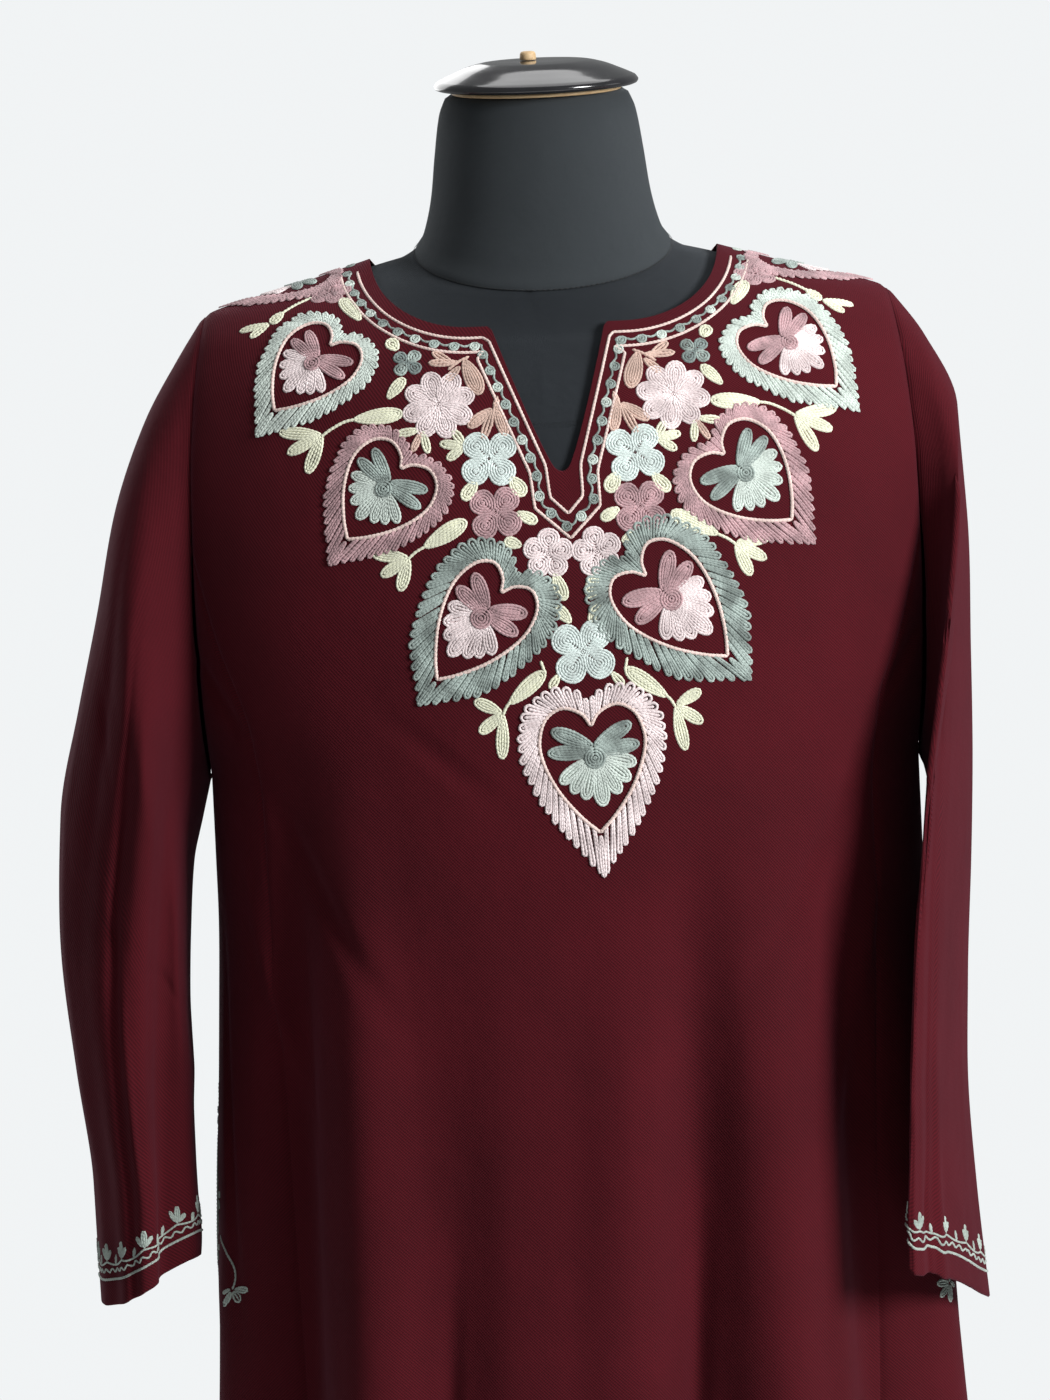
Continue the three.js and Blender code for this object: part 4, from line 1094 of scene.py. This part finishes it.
# base, tip and width of each petal of the daisy inside a heart, as shares of the height of its outline
PALE_PETALS = (
    ((-0.04, 0.27), (-0.38, 0.39), 0.145), ((-0.05, 0.29), (-0.31, 0.545), 0.145),
    ((-0.04, 0.31), (-0.205, 0.66), 0.15), ((-0.02, 0.32), (-0.05, 0.765), 0.165),
    ((0.01, 0.32), (0.11, 0.69), 0.145), ((0.03, 0.31), (0.22, 0.62), 0.14),
    ((0.04, 0.29), (0.32, 0.515), 0.14),
)
DEEP_PETALS = (
    ((0.0, 0.2), (-0.36, 0.0), 0.15), ((-0.02, 0.25), (-0.42, 0.2), 0.15),
    ((-0.01, 0.2), (0.36, 0.01), 0.155), ((0.0, 0.25), (0.41, 0.22), 0.15),
)
CORE_PLACE, CORE_RADIUS = np.array([-0.01, 0.3]), 0.105


def half_path(half):
    """A smooth path along half an outline, and the lengths along it."""
    path = smooth_path(np.array(half), 10)
    return path, run_lengths(path, 0)


def place_on(path, run, share):
    return np.array([np.interp(share * run[-1], run, path[:, c]) for c in (0, 1)])


FEATHER_ROW, OUTLINE_ROW = 1.8, 2.1
FEATHER_LIFTS, TIP_LIFT, OUTLINE_LIFT, CORE_LIFT = (0.3, 0.62), 0.66, 0.58, 0.75
FEATHER_FOOT = 0.35  # half the width of a feather at its root, as a share of that at its tip
LEAST_HALF, FEATHER_GAP = 0.7, 0.75  # least half width of a feather, and half of the gap between two
UNEVEN_SHARE, UNEVEN_TIP = 0.003, (-0.5, 0.6)  # how unevenly the feathers are placed, and how long they are


def feather(root, tip, room):
    """Lines of a feather from its root to its round tip: the outline, and a middle line if it is wide."""
    way = (tip - root) / np.linalg.norm(tip - root)
    tip = tip + way * random.uniform(*UNEVEN_TIP)
    aside = np.array([-way[1], way[0]])
    wide = max(LEAST_HALF, abs(room @ aside) / 2 - FEATHER_GAP)
    turned = np.linspace(0, np.pi, 7)[:, None]
    cap = tip - way * wide + wide * (aside * np.cos(turned) + way * np.sin(turned))
    foot = aside * (FEATHER_FOOT * wide)
    lines = [np.concatenate([[root + foot], cap, [root - foot]])]
    if wide > 1.0:
        lines.append(np.array([root + way * 2, tip - way * (wide * 0.9)]))
    return lines


def heart(length, width, crown, reach, border, deep, pale, core):
    """A heart that hangs from its notch at the origin: scalloped border, outline and a daisy inside."""
    made = []
    size = np.array([width, 1.0]) * length
    half = np.array(HEART_HALF) * size
    # The roots of the lowest feathers follow the middle line, half of the way to the border's tip
    reached = np.concatenate([half, [[0.0, (1 + 0.5 * (reach - 1)) * length]]])
    outer = np.array(BORDER_HALF)
    outer[:5, 1] *= crown
    outer[-4:, 1] = 1 + (outer[-4:, 1] - 1) * (reach - 1) / BORDER_REACH
    outer = outer * (np.array([1 + 0.6 * (width - 1), 1.0]) * length)
    roots, tips = half_path(reached), half_path(outer)
    gap = 0.5 / FEATHERS
    for side in (1, -1):
        for share in (np.arange(FEATHERS) + 0.5) / FEATHERS:
            share = float(np.clip(share + random.uniform(-UNEVEN_SHARE, UNEVEN_SHARE), 0.004, 0.996))
            slant = FEATHER_SLANT * float(smooth(0.12, 0.5, share))
            root, tip = place_on(*roots, max(0.0, share - slant)), place_on(*tips, share)
            room = place_on(*tips, min(1.0, share + gap)) - place_on(*tips, max(0.0, share - gap))
            lines = feather(root, tip, room)
            level = random.uniform(*FEATHER_LIFTS)
            made.append((lines[0] * [side, 1], border, FEATHER_ROW, level))
            made += [(line * [side, 1], border, ROW, level + 0.05) for line in lines[1:]]
    made += petal((0, 1.01 * length), (0, reach * length + 1), 4.4, border, FEATHER_ROW, 0.6, 0.3, TIP_LIFT)
    inner_path = half_path(half)[0] * [0.97, 1.0]
    made += [(inner_path * [side, 1], "pale_peach", OUTLINE_ROW, OUTLINE_LIFT) for side in (1, -1)]
    for petals, thread, widest, taper, low, high in (
        (PALE_PETALS, pale, 0.68, 0.45, 0.0, 0.25), (DEEP_PETALS, deep, 0.6, 0.25, 0.3, 0.5),
    ):
        for base, tip, share in petals:
            level = random.uniform(low, high)
            made += petal(base * size, tip * size, share * length, thread, ROW, widest, taper, level)
    return made + dot(CORE_PLACE * size, CORE_RADIUS * length, core, ROW, CORE_LIFT)


def axis_at(down):
    """The middle line of the embroidery, which hangs a little to the wearer's left."""
    return MOTIF_LEAN * (down - MOTIF_DOWN) / MOTIF_RUN


FRONT_REACH = 400.0  # a distance from the middle that is well in front of the cloth


def on_front(across, down):
    """The cloth at a place of the chart: across from the middle line, and down."""
    start = Vector((across + axis_at(down), -FRONT_REACH, SHOULDER_HEIGHT - down))
    place, normal, _, _ = body_tree.ray_cast(start, Vector((0, 1, 0)))
    return np.array(place), np.array(normal)


RAY_START, RAY_REACH = 28, 60.0  # where the search for the cloth under a strand starts, and its length


def stitch_on(strands, origin, x_way, y_way, normal):
    """Lays flat strands on the body, along the normal of their plane."""
    ray = Vector(-normal)

    def nodes_of(flat):
        nodes = []
        for x, y in flat:
            start = origin + x_way * x + y_way * y + normal * RAY_START
            place, facing, _, _ = body_tree.ray_cast(Vector(start), ray, RAY_REACH)
            if place is None:
                break
            nodes.append((place, facing))
        return apart(nodes)

    lay_strands(strands, nodes_of)


def frame_between(a, a_normal, b, b_normal):
    """The ways across, along and out of the cloth between two places of it."""
    normal = unit(a_normal + b_normal)
    y_way = unit((b - a) - normal * ((b - a) @ normal))
    return np.cross(y_way, normal), y_way, normal


def hang(strands_of, start, end, side=1):
    """Places a motif between two places of the chart. strands_of takes its true length."""
    a, a_normal = on_front(side * start[0], start[1])
    b, b_normal = on_front(side * end[0], end[1])
    x_way, y_way, normal = frame_between(a, a_normal, b, b_normal)
    stitch_on(strands_of(float(np.linalg.norm(b - a))), a, x_way * side, y_way, normal)


def scatter(strands, place, side=1):
    """Places a motif about one place of the chart, with its y axis down the cloth."""
    a, a_normal = on_front(side * place[0], place[1])
    b, b_normal = on_front(side * place[0], place[1] + 4)
    x_way, y_way, normal = frame_between(a, a_normal, b, b_normal)
    stitch_on(strands, a, x_way * side, y_way, normal)


def leaf(start, end, width, thread, side):
    hang(lambda length: petal((0, 0), (0, length), width * 1.08, thread, ROW, 0.6, 0.4), start, end, side)


LINE_ROW = 1.9


def stem(chart, thread, side):
    path = smooth_path(np.array(chart, float))
    lay(*apart([on_front(side * across, down) for across, down in path]), thread, LINE_ROW)


# Hearts of one side: notch, tip of the outline, width, crown and reach of the border, and the threads of the
# border, the deep petals, the pale petals and the core
HEARTS = (
    ((118.5, 46), (152, 79.5), 1.1, 0.86, 1.36, "grey_green", "mauve", "light_pink", "mauve"),
    ((86.5, 112), (119, 148.5), 1.15, 0.82, 1.36, "mauve", "dark_green", "grey_green", "dark_green"),
    ((40, 179), (79, 224), 0.88, 1.0, 1.3, "dark_green", "mauve", "light_pink", "mauve"),
)
HAND_SHIFT = (-2.5, -5.5)  # the lowest heart of the wearer's left is placed a little off by hand
# Leaves of one side, in the order of their sewing: the thread, then base, tip and width of each
LEAVES = (
    ("cream", (
        ((82, 50), (87, 43.5), 7.5), ((90.5, 75.5), (79.5, 64), 7.0), ((110, 85.5), (82, 83), 9.0),
        ((79, 154), (54, 140.5), 9.5), ((46.5, 119.5), (55.5, 130), 7.5), ((29, 118), (22, 129), 8.5),
        ((28, 137), (16.5, 143), 6.5), ((26, 155), (36, 151.5), 6.5), ((11, 169), (6.5, 185), 7.5),
        ((4.5, 197), (12, 187), 6.5), ((42.5, 238.5), (21, 221.5), 8.5), ((13.5, 223), (20, 231.5), 5.0),
        ((127, 93), (151, 91), 7.2), ((127, 93), (147.5, 102.5), 7.0), ((127, 93), (137.5, 113.5), 7.6),
        ((87, 159), (107, 156.5), 6.8), ((87, 159), (103.5, 168.5), 6.6), ((87, 159), (94, 177), 7.0),
        ((46, 243), (61, 235.5), 6.8), ((46, 243), (60, 253.5), 6.8), ((46, 243), (49, 268), 7.0),
        ((51, 101.5), (65, 99.5), 5.5), ((51, 101.5), (57, 92.5), 5.2), ((51, 101.5), (62, 108.5), 5.5),
        ((74, 92), (88, 94), 5.0),
    )),
    ("peach", (
        ((73, 92), (80, 104), 4.2),
    )),
    ("cream", (
        ((73, 92), (71, 105), 4.8), ((101, 33.5), (111, 21), 8.5), ((151, 33), (163, 40.5), 5.2),
        ((151, 33), (169, 37), 5.0), ((143, 27), (151, 33.5), 7.0),
    )),
    ("peach", (
        ((47, 55.5), (40, 75), 9.5), ((49, 57.5), (67, 57), 5.0), ((52, 59), (64, 51), 5.0),
        ((49, 59), (58, 67.5), 5.0), ((34, 82), (49, 92), 6.5), ((34, 82), (41.5, 99), 5.2),
        ((33, 80), (28.5, 97.5), 6.5), ((33.5, 84), (31, 76.5), 3.6),
    )),
)
STEMS = (
    (((102, 85), (113, 86), (122, 90), (128, 94)), "cream"), (((76, 152.5), (83, 156), (88, 160)), "cream"),
    (((41, 236.5), (44, 240), (46, 244)), "cream"), (((23, 216), (22, 220), (21, 223)), "cream"),
    (((127, 20), (137, 24), (147, 29.5)), "cream"), (((31, 76), (34, 84), (36, 92)), "peach"),
    (((44, 54.5), (50, 57), (56, 61)), "peach"),
)
# Flowers of one side: place, petals, reach, width of a petal, threads, turn
FLOWERS = (
    ((63, 79), 8, 20.5, 12.5, ("light_pink",), 0.2), ((39, 108.5), 4, 17.5, 15.5, ("pale_grey",), 0.65),
    ((38.5, 137), 4, 16.0, 14.5, ("mauve",), 0.8),
    ((77.5, 56.5), 4, 9.5, 8.2, ("slate", "dark_green"), 0.75),
    ((13, 159.5), 5, 14.0, 12.5, ("light_pink",), 0.5), ((117, 17.5), 5, 12.5, 10.5, ("mauve",), 0.3),
)

for side in (1, -1):
    for start, end, *threads in HEARTS:
        higher = np.array(HAND_SHIFT if side > 0 and start[1] > 150 else (0, 0))
        hang(lambda length: heart(length, *threads), start + higher, end + higher, side)
    for thread, leaves in LEAVES:
        for start, end, width in leaves:
            leaf(start, end, width, thread, side)
    for chart, thread in STEMS:
        stem(chart, thread, side)
    for place, count, reach, width, threads, start in FLOWERS:
        scatter(flower(count, reach, width, threads, start=start), place, side)
hang(lambda length: heart(length, 1.05, 1.0, 1.42, "light_pink", "dark_green", "grey_green", "dark_green"),
     (0, 251.5), (-1, 309))
scatter(flower(4, 19.0, 17.0, ("pale_grey",), start=0.72), (0, 212))


SHOULDER_ENDS = np.array([127.0, 172.0])  # across, of the notch and the tip of its outline


def shoulder_heart(side):
    """A heart that lies over the shoulder seam, with its tip outwards."""
    a, b = body_node(side * SHOULDER_ENDS, shoulder_drop(SHOULDER_ENDS), "front")[0]
    slope = unit(b - a)
    up = np.array([0, 0, 1.0])
    normal = unit(up - slope * (up @ slope))
    x_way = np.cross(slope, normal)
    length = float(np.linalg.norm(b - a))
    strands = heart(length, 1.0, 0.9, 1.25, "mauve", "dark_green", "light_pink", "dark_green")
    stitch_on(strands, a, x_way * side, slope, normal)


for side in (1, -1):
    shoulder_heart(side)

# The neck border: two lines and a dotted vine, at these distances from the edge of the cloth
BORDER = {"inner": 8.0, "vine": 12.7, "outer": 17.5}
# Across and down beside the slit, from the neckline to its foot
SLIT_LINES = {
    "inner": ((32.5, 47), (9.3, 113.5), (8.8, 130), (0, 139)),
    "vine": ((36.2, 51.7), (13.6, 115), (13.2, 133), (0, 145.5)),
    "outer": ((39.8, 56), (18, 117), (17.4, 135.5), (0, 152)),
}
NECK_JOIN = 35.0


def neck_loop():
    """Points of the neckline from beside the slit, round the back, to the other side of the slit."""
    ahead = np.concatenate([np.linspace(NECK_JOIN, 60, 12), np.linspace(62, 94, 24), [95.2, NECK_HALF]])
    behind = np.concatenate([[95.4, 94], np.linspace(92, 60, 14), np.linspace(56, 0, 20)])
    places = [body_node(np.array(x), neckline_drop(np.array(x), "front"), "front") for x in ahead]
    places += [body_node(np.array(x), neckline_drop(np.array(x), "back"), "back") for x in behind]
    points = np.array([p[0] for p in places])
    mirrored = points[:-1][::-1] * [-1, 1, 1]
    return np.concatenate([points, mirrored])


WALK_STEP = 1.5


def away_from_edge(edge, distance):
    """Walks over the cloth from its edge, square to it."""
    tangent = unit(np.gradient(edge, axis=0))
    points, normals = [], []
    for place, way in zip(edge, tangent):
        here, normal, _, _ = body_tree.find_nearest(Vector(place))
        here, normal = np.array(here), np.array(normal)
        walked = 0.0
        while walked < distance - 1e-6:
            outwards = unit(np.cross(normal, way))
            if outwards @ np.array([here[0], here[1], -20.0]) < 0:
                outwards = -outwards
            step = min(WALK_STEP, distance - walked)
            spot, normal, _, _ = body_tree.find_nearest(Vector(here + outwards * step))
            here, normal = np.array(spot), np.array(normal)
            walked += step
        points.append(here)
        normals.append(normal)
    return np.array(points), np.array(normals)


def slit_nodes(places):
    """The part of a border line beside the slit, from its foot up."""
    path = resampled(np.array(places[::-1], float), 3.0)
    return apart([on_front(across, down) for across, down in path])


def border_line(name):
    """A whole line of the border. Round the neck it starts a little beside the corner of the slit."""
    left = slit_nodes(SLIT_LINES[name])
    neckline = away_from_edge(neck_loop(), BORDER[name])
    right = slit_nodes([(-across, down) for across, down in SLIT_LINES[name]])
    return tuple(np.concatenate([a, b, c[::-1]]) for a, b, c in zip(left, neckline, right))


for name in ("inner", "outer"):
    lay(*border_line(name), "pale_peach", LINE_ROW)


def strung(points, normals, pitch, phase=0.0):
    """Evenly spaced places along a line: point, normal, the way along and the way across."""
    both = np.concatenate([points, normals], axis=-1)
    fine = resampled(both, 1.0)
    along = unit(np.gradient(fine[:, :3], axis=0))
    found = []
    for at in np.arange(pitch * (0.5 + phase), len(fine) - 1, pitch):
        i = int(at)
        normal = unit(fine[i, 3:])
        found.append((fine[i, :3], normal, along[i], unit(np.cross(along[i], normal))))
    return found


def waved(points, normals, height, pitch):
    """The same line, waving from side to side."""
    fine = resampled(np.concatenate([points, normals], axis=-1), 1.0)
    along = unit(np.gradient(fine[:, :3], axis=0))
    normal = unit(fine[:, 3:])
    across = unit(np.cross(along, normal))
    wave = height * np.sin(np.arange(len(fine)) * 2 * np.pi / pitch)
    return fine[:, :3] + across * wave[:, None], normal


vine_points, vine_normals = border_line("vine")
VINE_PITCH = 11.0
lay(*waved(vine_points, vine_normals, 0.9, VINE_PITCH), "dark_green", 1.5)
for k, (place, normal, along, across) in enumerate(strung(vine_points, vine_normals, VINE_PITCH, 0.25)):
    thread = "dark_green" if k % 3 else "grey_green"
    stitch_on(dot((0, 0), 3.1, thread, 1.35, 0.25), place + across * 1.1, along, across, normal)

# ---- cuffs
CUFF_LINE, CUFF_WAVE, CUFF_VINE = 14.0, 19.0, 24.0  # distances above the edge
CUFF_BAND = 0.04  # the share of the sleeve over which those distances are measured
CUFF_PITCH = {"left": 33.0, "right": 20.0}
FOLDED_SPRIG = 10  # the sprig of the wearer's right cuff that a fold of the cloth takes up


def cuff_share(which, distance, degrees):
    band = sleeve_point(which, 1.0, degrees) - sleeve_point(which, 1.0 - CUFF_BAND, degrees)
    return 1 - distance * CUFF_BAND / np.linalg.norm(band, axis=-1)


def cuff_nodes(which, distance, degrees):
    """Places at a distance above the cuff's edge."""
    return sleeve_node(which, cuff_share(which, distance, degrees), degrees)


def sprig():
    """Three small leaves that grow up from the vine; y is down."""
    made = petal((0, 0.5), (0, -10.5), 3.9, "sage", THIN, 0.6, 0.4)
    made += petal((0.6, -0.5), (5.0, -7.2), 3.0, "sage", FINE, 0.6, 0.4)
    return made + petal((-0.6, -0.5), (-4.8, -6.8), 3.0, "sage", FINE, 0.6, 0.4)


def lay_on_sleeve(which, strands, share, degrees):
    """Lays small flat strands on a sleeve, in its own coordinates."""
    around = sleeve_point(which, share, degrees + 1) - sleeve_point(which, share, degrees - 1)
    above, below = (sleeve_point(which, share + step, degrees) for step in (-SHARE_STEP, SHARE_STEP))
    per_degree, per_share = np.linalg.norm(around) / 2, np.linalg.norm(below - above) / (2 * SHARE_STEP)
    lay_strands(strands, lambda flat: sleeve_node(
        which, share + flat[:, 1] / per_share, degrees + flat[:, 0] / per_degree))


for which in ("left", "right"):
    ring = np.linspace(0, 360, 181)
    line_points, line_normals = cuff_nodes(which, CUFF_LINE, ring)
    lay(line_points, line_normals, "sage", 1.6)
    wave_points, wave_normals = cuff_nodes(which, CUFF_WAVE, ring)
    lay(*waved(wave_points, wave_normals, 1.0, CUFF_PITCH[which] / 3), "sage", 1.35)
    length = run_lengths(line_points, 0)
    sprigs = int(round(length[-1] / CUFF_PITCH[which]))
    scallop = CUFF_VINE + 2.6 * np.abs(np.sin(np.pi * np.interp(length, [0, length[-1]], [0, sprigs])))
    lay(*cuff_nodes(which, CUFF_VINE - (scallop - CUFF_VINE) * 0.8, ring), "sage", 1.35)
    for k in range(2 * sprigs):
        degrees = float(np.interp((k + 0.02) * length[-1] / (2 * sprigs), length, ring))
        if which == "right" and k == FOLDED_SPRIG:
            continue
        share = float(cuff_share(which, CUFF_VINE + 0.5, degrees))
        strands = petal((0, 3), (1.2, -3.6), 2.8, "sage", FINE) if k % 2 else sprig()
        lay_on_sleeve(which, strands, share, degrees)

# ---- pocket edges
POCKET_LINE = 5.0
POCKET_FLOWER = {"left": (69.0, 581.0), "right": (61.5, 567.0)}  # in front of the seam, and down


def beside_pocket(which, distance, down, ahead):
    """Places beside the opening of a side seam: in front of it or behind it."""
    edge = 90 - pocket_gape(down) * ahead
    step = body_point(edge + 1, down) - body_point(edge - 1, down)
    per_degree = np.linalg.norm(step, axis=-1) / 2
    degrees = edge + (-1 if ahead else 1) * distance / per_degree
    return body_node_at(SIDE[which] * degrees, down)


def lay_beside(which, strands, distance, down, ahead):
    lay_strands(strands, lambda flat: beside_pocket(which, distance + flat[:, 0], down + flat[:, 1], ahead))


def pocket_flower():
    """Three petals that hang from a curved stem, at the foot of a pocket."""
    made = petal((1, 0), (14, -1.5), 4.8, "sage", 1.5) + petal((1, 1), (12.5, 6.5), 4.8, "sage", 1.5)
    made += petal((0, 1), (1.5, 11.5), 6.4, "sage", 1.5) + petal((-1, 0), (-9, 4.5), 3.2, "sage", FINE)
    return made + [(smooth_path([(0, 0), (-2.5, -6), (-9, -13), (-20, -20), (-36, -26)]), "sage", 1.5, 0.0)]


# A scroll with a short bar under it, at the foot of a pocket, and a bud beside it
SCROLL = ((0, 0), (-1.5, 4), (-4.5, 6), (-6.4, 3), (-4.2, 0.5))
BAR = ((-3.6, 20), (3.6, 20))


for which in ("left", "right"):
    for ahead in (True, False):
        down = np.linspace(POCKET_TOP - 6, POCKET_BOTTOM + 8, 60)
        lay(*beside_pocket(which, np.full(60, POCKET_LINE), down, ahead), "sage", 1.6)
        wave = POCKET_LINE + 5 + 1.0 * np.sin(down * 2 * np.pi / 7)
        lay(*beside_pocket(which, wave, down, ahead), "sage", 1.4)
        for level in (POCKET_TOP + 10, (POCKET_TOP + POCKET_BOTTOM) / 2 - 8, POCKET_BOTTOM - 40):
            bud = petal((0, 0), (9, -3), 4.2, "sage", THIN) + petal((0, 2), (7, 6), 3.4, "sage", THIN)
            lay_beside(which, bud, POCKET_LINE + 7.5, level, ahead)
        lay_beside(which, pocket_flower(), *POCKET_FLOWER[which], ahead)
        lay_beside(which, [(smooth_path(SCROLL), "sage", 1.6, 0.0)], POCKET_LINE, POCKET_BOTTOM + 8, ahead)
        lay_beside(which, [(BAR, "sage", 1.8, 0.0)], POCKET_LINE, POCKET_BOTTOM + 3, ahead)


def neck_stitches():
    """Small dark stitches that hold the foot of the neck cover."""
    count = 150
    angles = np.linspace(0, 360, count * 4, endpoint=False)
    lift, half, ahead, behind, slope = NECK[0]
    ring = form_ring(angles, half + 0.9, ahead + 0.9, behind + 0.9, SHOULDER_HEIGHT + lift + 0.6, slope, 2.0)
    outwards = unit(ring * [1, 1, 0])
    for k in range(0, count * 4, 4):
        lay(ring[k : k + 3], outwards[k : k + 3], "charcoal", 0.8)


neck_stitches()


def stitched_object(thread, rows):
    """One mesh of all the rows in one thread. U counts the links and V runs across a row."""
    points, faces, uvs, base = [], [], [], 0
    for line, normals, width, lift in rows:
        count = len(line)
        middle = np.arange(count) % 2
        wide = np.where(middle, 1.0, 0.8) * width / 2
        tall = np.where(middle, 1.0, 0.6) * RISE * width / ROW
        wide[[0, -1]] *= 0.6
        tall[[0, -1]] *= 0.5
        along = unit(np.gradient(line, axis=0))
        across = unit(np.cross(along, normals))
        for offset, height in RISE_SHAPE:
            rise = tall * height if height > 0 else np.full(count, height)
            points.append(line + across * (wide * offset)[:, None] + normals * (rise + lift)[:, None])
        i, j = (a.ravel() for a in np.meshgrid(np.arange(count - 1), np.arange(3), indexing="ij"))
        quad = np.stack([j * count + i, (j + 1) * count + i, (j + 1) * count + i + 1, j * count + i + 1], -1)
        faces.append(quad + base)
        base += 4 * count
        v = np.array([offset for offset, _ in RISE_SHAPE])
        uvs.append(np.stack([
            np.stack([i / 2, v[j]], -1), np.stack([i / 2, v[j + 1]], -1),
            np.stack([(i + 1) / 2, v[j + 1]], -1), np.stack([(i + 1) / 2, v[j]], -1),
        ], 1))
    kind = "stitching" if thread == "charcoal" else "embroidery"
    points, faces, uvs = (np.concatenate(part) for part in (points, faces, uvs))
    return make_object(f"{kind}_{thread}", points, faces.tolist(), uvs)


for thread, rows in stitches.items():
    colour, depth = THREADS[thread]
    material = thread_material(f"{thread} crewel wool", linear(*colour), depth)
    finish_piece(stitched_object(thread, rows), material, "neck_jersey" if thread == "charcoal" else "wool")

# ---- camera, light and floor
IMAGE_ANGLE = math.radians(19.34)
CAMERA_PLACE, CAMERA_AIM = Vector((-0.021, -2.3, 1.4)), Vector((-0.021, 0.0, 1.139))
CAMERA_ROLL = math.radians(-2.5)


def add_camera():
    data = bpy.data.cameras.new("camera")
    data.sensor_width = 36.0
    data.lens = data.sensor_width / 2 / math.tan(IMAGE_ANGLE / 2)
    made = bpy.data.objects.new("camera", data)
    bpy.context.scene.collection.objects.link(made)
    look = (CAMERA_AIM - CAMERA_PLACE).normalized().to_track_quat("-Z", "Y").to_matrix().to_4x4()
    made.matrix_world = Matrix.Translation(CAMERA_PLACE) @ look @ Matrix.Rotation(CAMERA_ROLL, 4, "Z")
    bpy.context.scene.camera = made


# Name, place, aim, size and power of each light
LIGHTS = (
    ("key", (2.08, -1.65, 1.95), (0, 0, 1.05), 1.0, 95.0),
    ("side", (2.7, 0.2, 1.7), (0, 0, 1.0), 1.2, 3.0),
    ("top", (0.2, 0.2, 3.2), (0, 0, 1.2), 2.4, 29.0),
    ("back_fill", (-1.4, 2.6, 2.1), (0, 0, 1.0), 2.8, 38.0),
)


def add_area_light(name, place, aim, size, power):
    data = bpy.data.lights.new(name, "AREA")
    data.shape = "DISK"
    data.size = size
    data.energy = power
    made = bpy.data.objects.new(name, data)
    made.location = place
    made.rotation_euler = (Vector(aim) - Vector(place)).to_track_quat("-Z", "Y").to_euler()
    bpy.context.scene.collection.objects.link(made)


BACKDROP = (0.88, 0.90, 0.91, 1.0)
AMBIENT = 0.24  # how brightly the backdrop lights the scene, as a share of how it looks


def add_world():
    world = bpy.data.worlds.new("studio")
    world.use_nodes = True
    tree = world.node_tree
    background = tree.nodes["Background"]
    background.inputs["Color"].default_value = BACKDROP
    seen = node(tree, "ShaderNodeLightPath")
    strength = calculate(tree, "MULTIPLY_ADD", seen.outputs["Is Camera Ray"], 1.0 - AMBIENT, AMBIENT)
    tree.links.new(strength, background.inputs["Strength"])
    bpy.context.scene.world = world


FLOOR_LEVEL = -1.0  # in mm, just under the stand
FADE_START, FADE_END = 0.9, 1.9  # in metres from the stand


def add_floor():
    """A pale floor that fades into the backdrop all round."""
    rings = np.array([2.0, 1.6, 1.2, 0.8, 0.4, 0.02])[:, None] * 1000
    angle = np.linspace(0, 2 * np.pi, 96, endpoint=False)
    made = loft("floor", stacked(rings * np.cos(angle), rings * np.sin(angle), FLOOR_LEVEL), close=False)
    material, tree, shader = new_material("pale floor")
    coordinates = node(tree, "ShaderNodeTexCoord")
    far = node(tree, "ShaderNodeVectorMath", {0: coordinates.outputs["Object"]}, operation="LENGTH")
    share = node(tree, "ShaderNodeMapRange", {0: far.outputs["Value"], 1: FADE_START, 2: FADE_END},
                 interpolation_type="SMOOTHSTEP")
    shader.inputs["Base Color"].default_value = (0.86, 0.87, 0.88, 1)
    shader.inputs["Roughness"].default_value = 0.9
    clear = node(tree, "ShaderNodeBsdfTransparent")
    mixed = node(tree, "ShaderNodeMixShader", {0: share.outputs[0]})
    tree.links.new(shader.outputs[0], mixed.inputs[1])
    tree.links.new(clear.outputs[0], mixed.inputs[2])
    tree.links.new(mixed.outputs[0], tree.nodes["Material Output"].inputs["Surface"])
    made.data.materials.append(material)


add_camera()
add_world()
add_floor()
for light in LIGHTS:
    add_area_light(*light)
bpy.context.scene.view_settings.view_transform = "Standard"
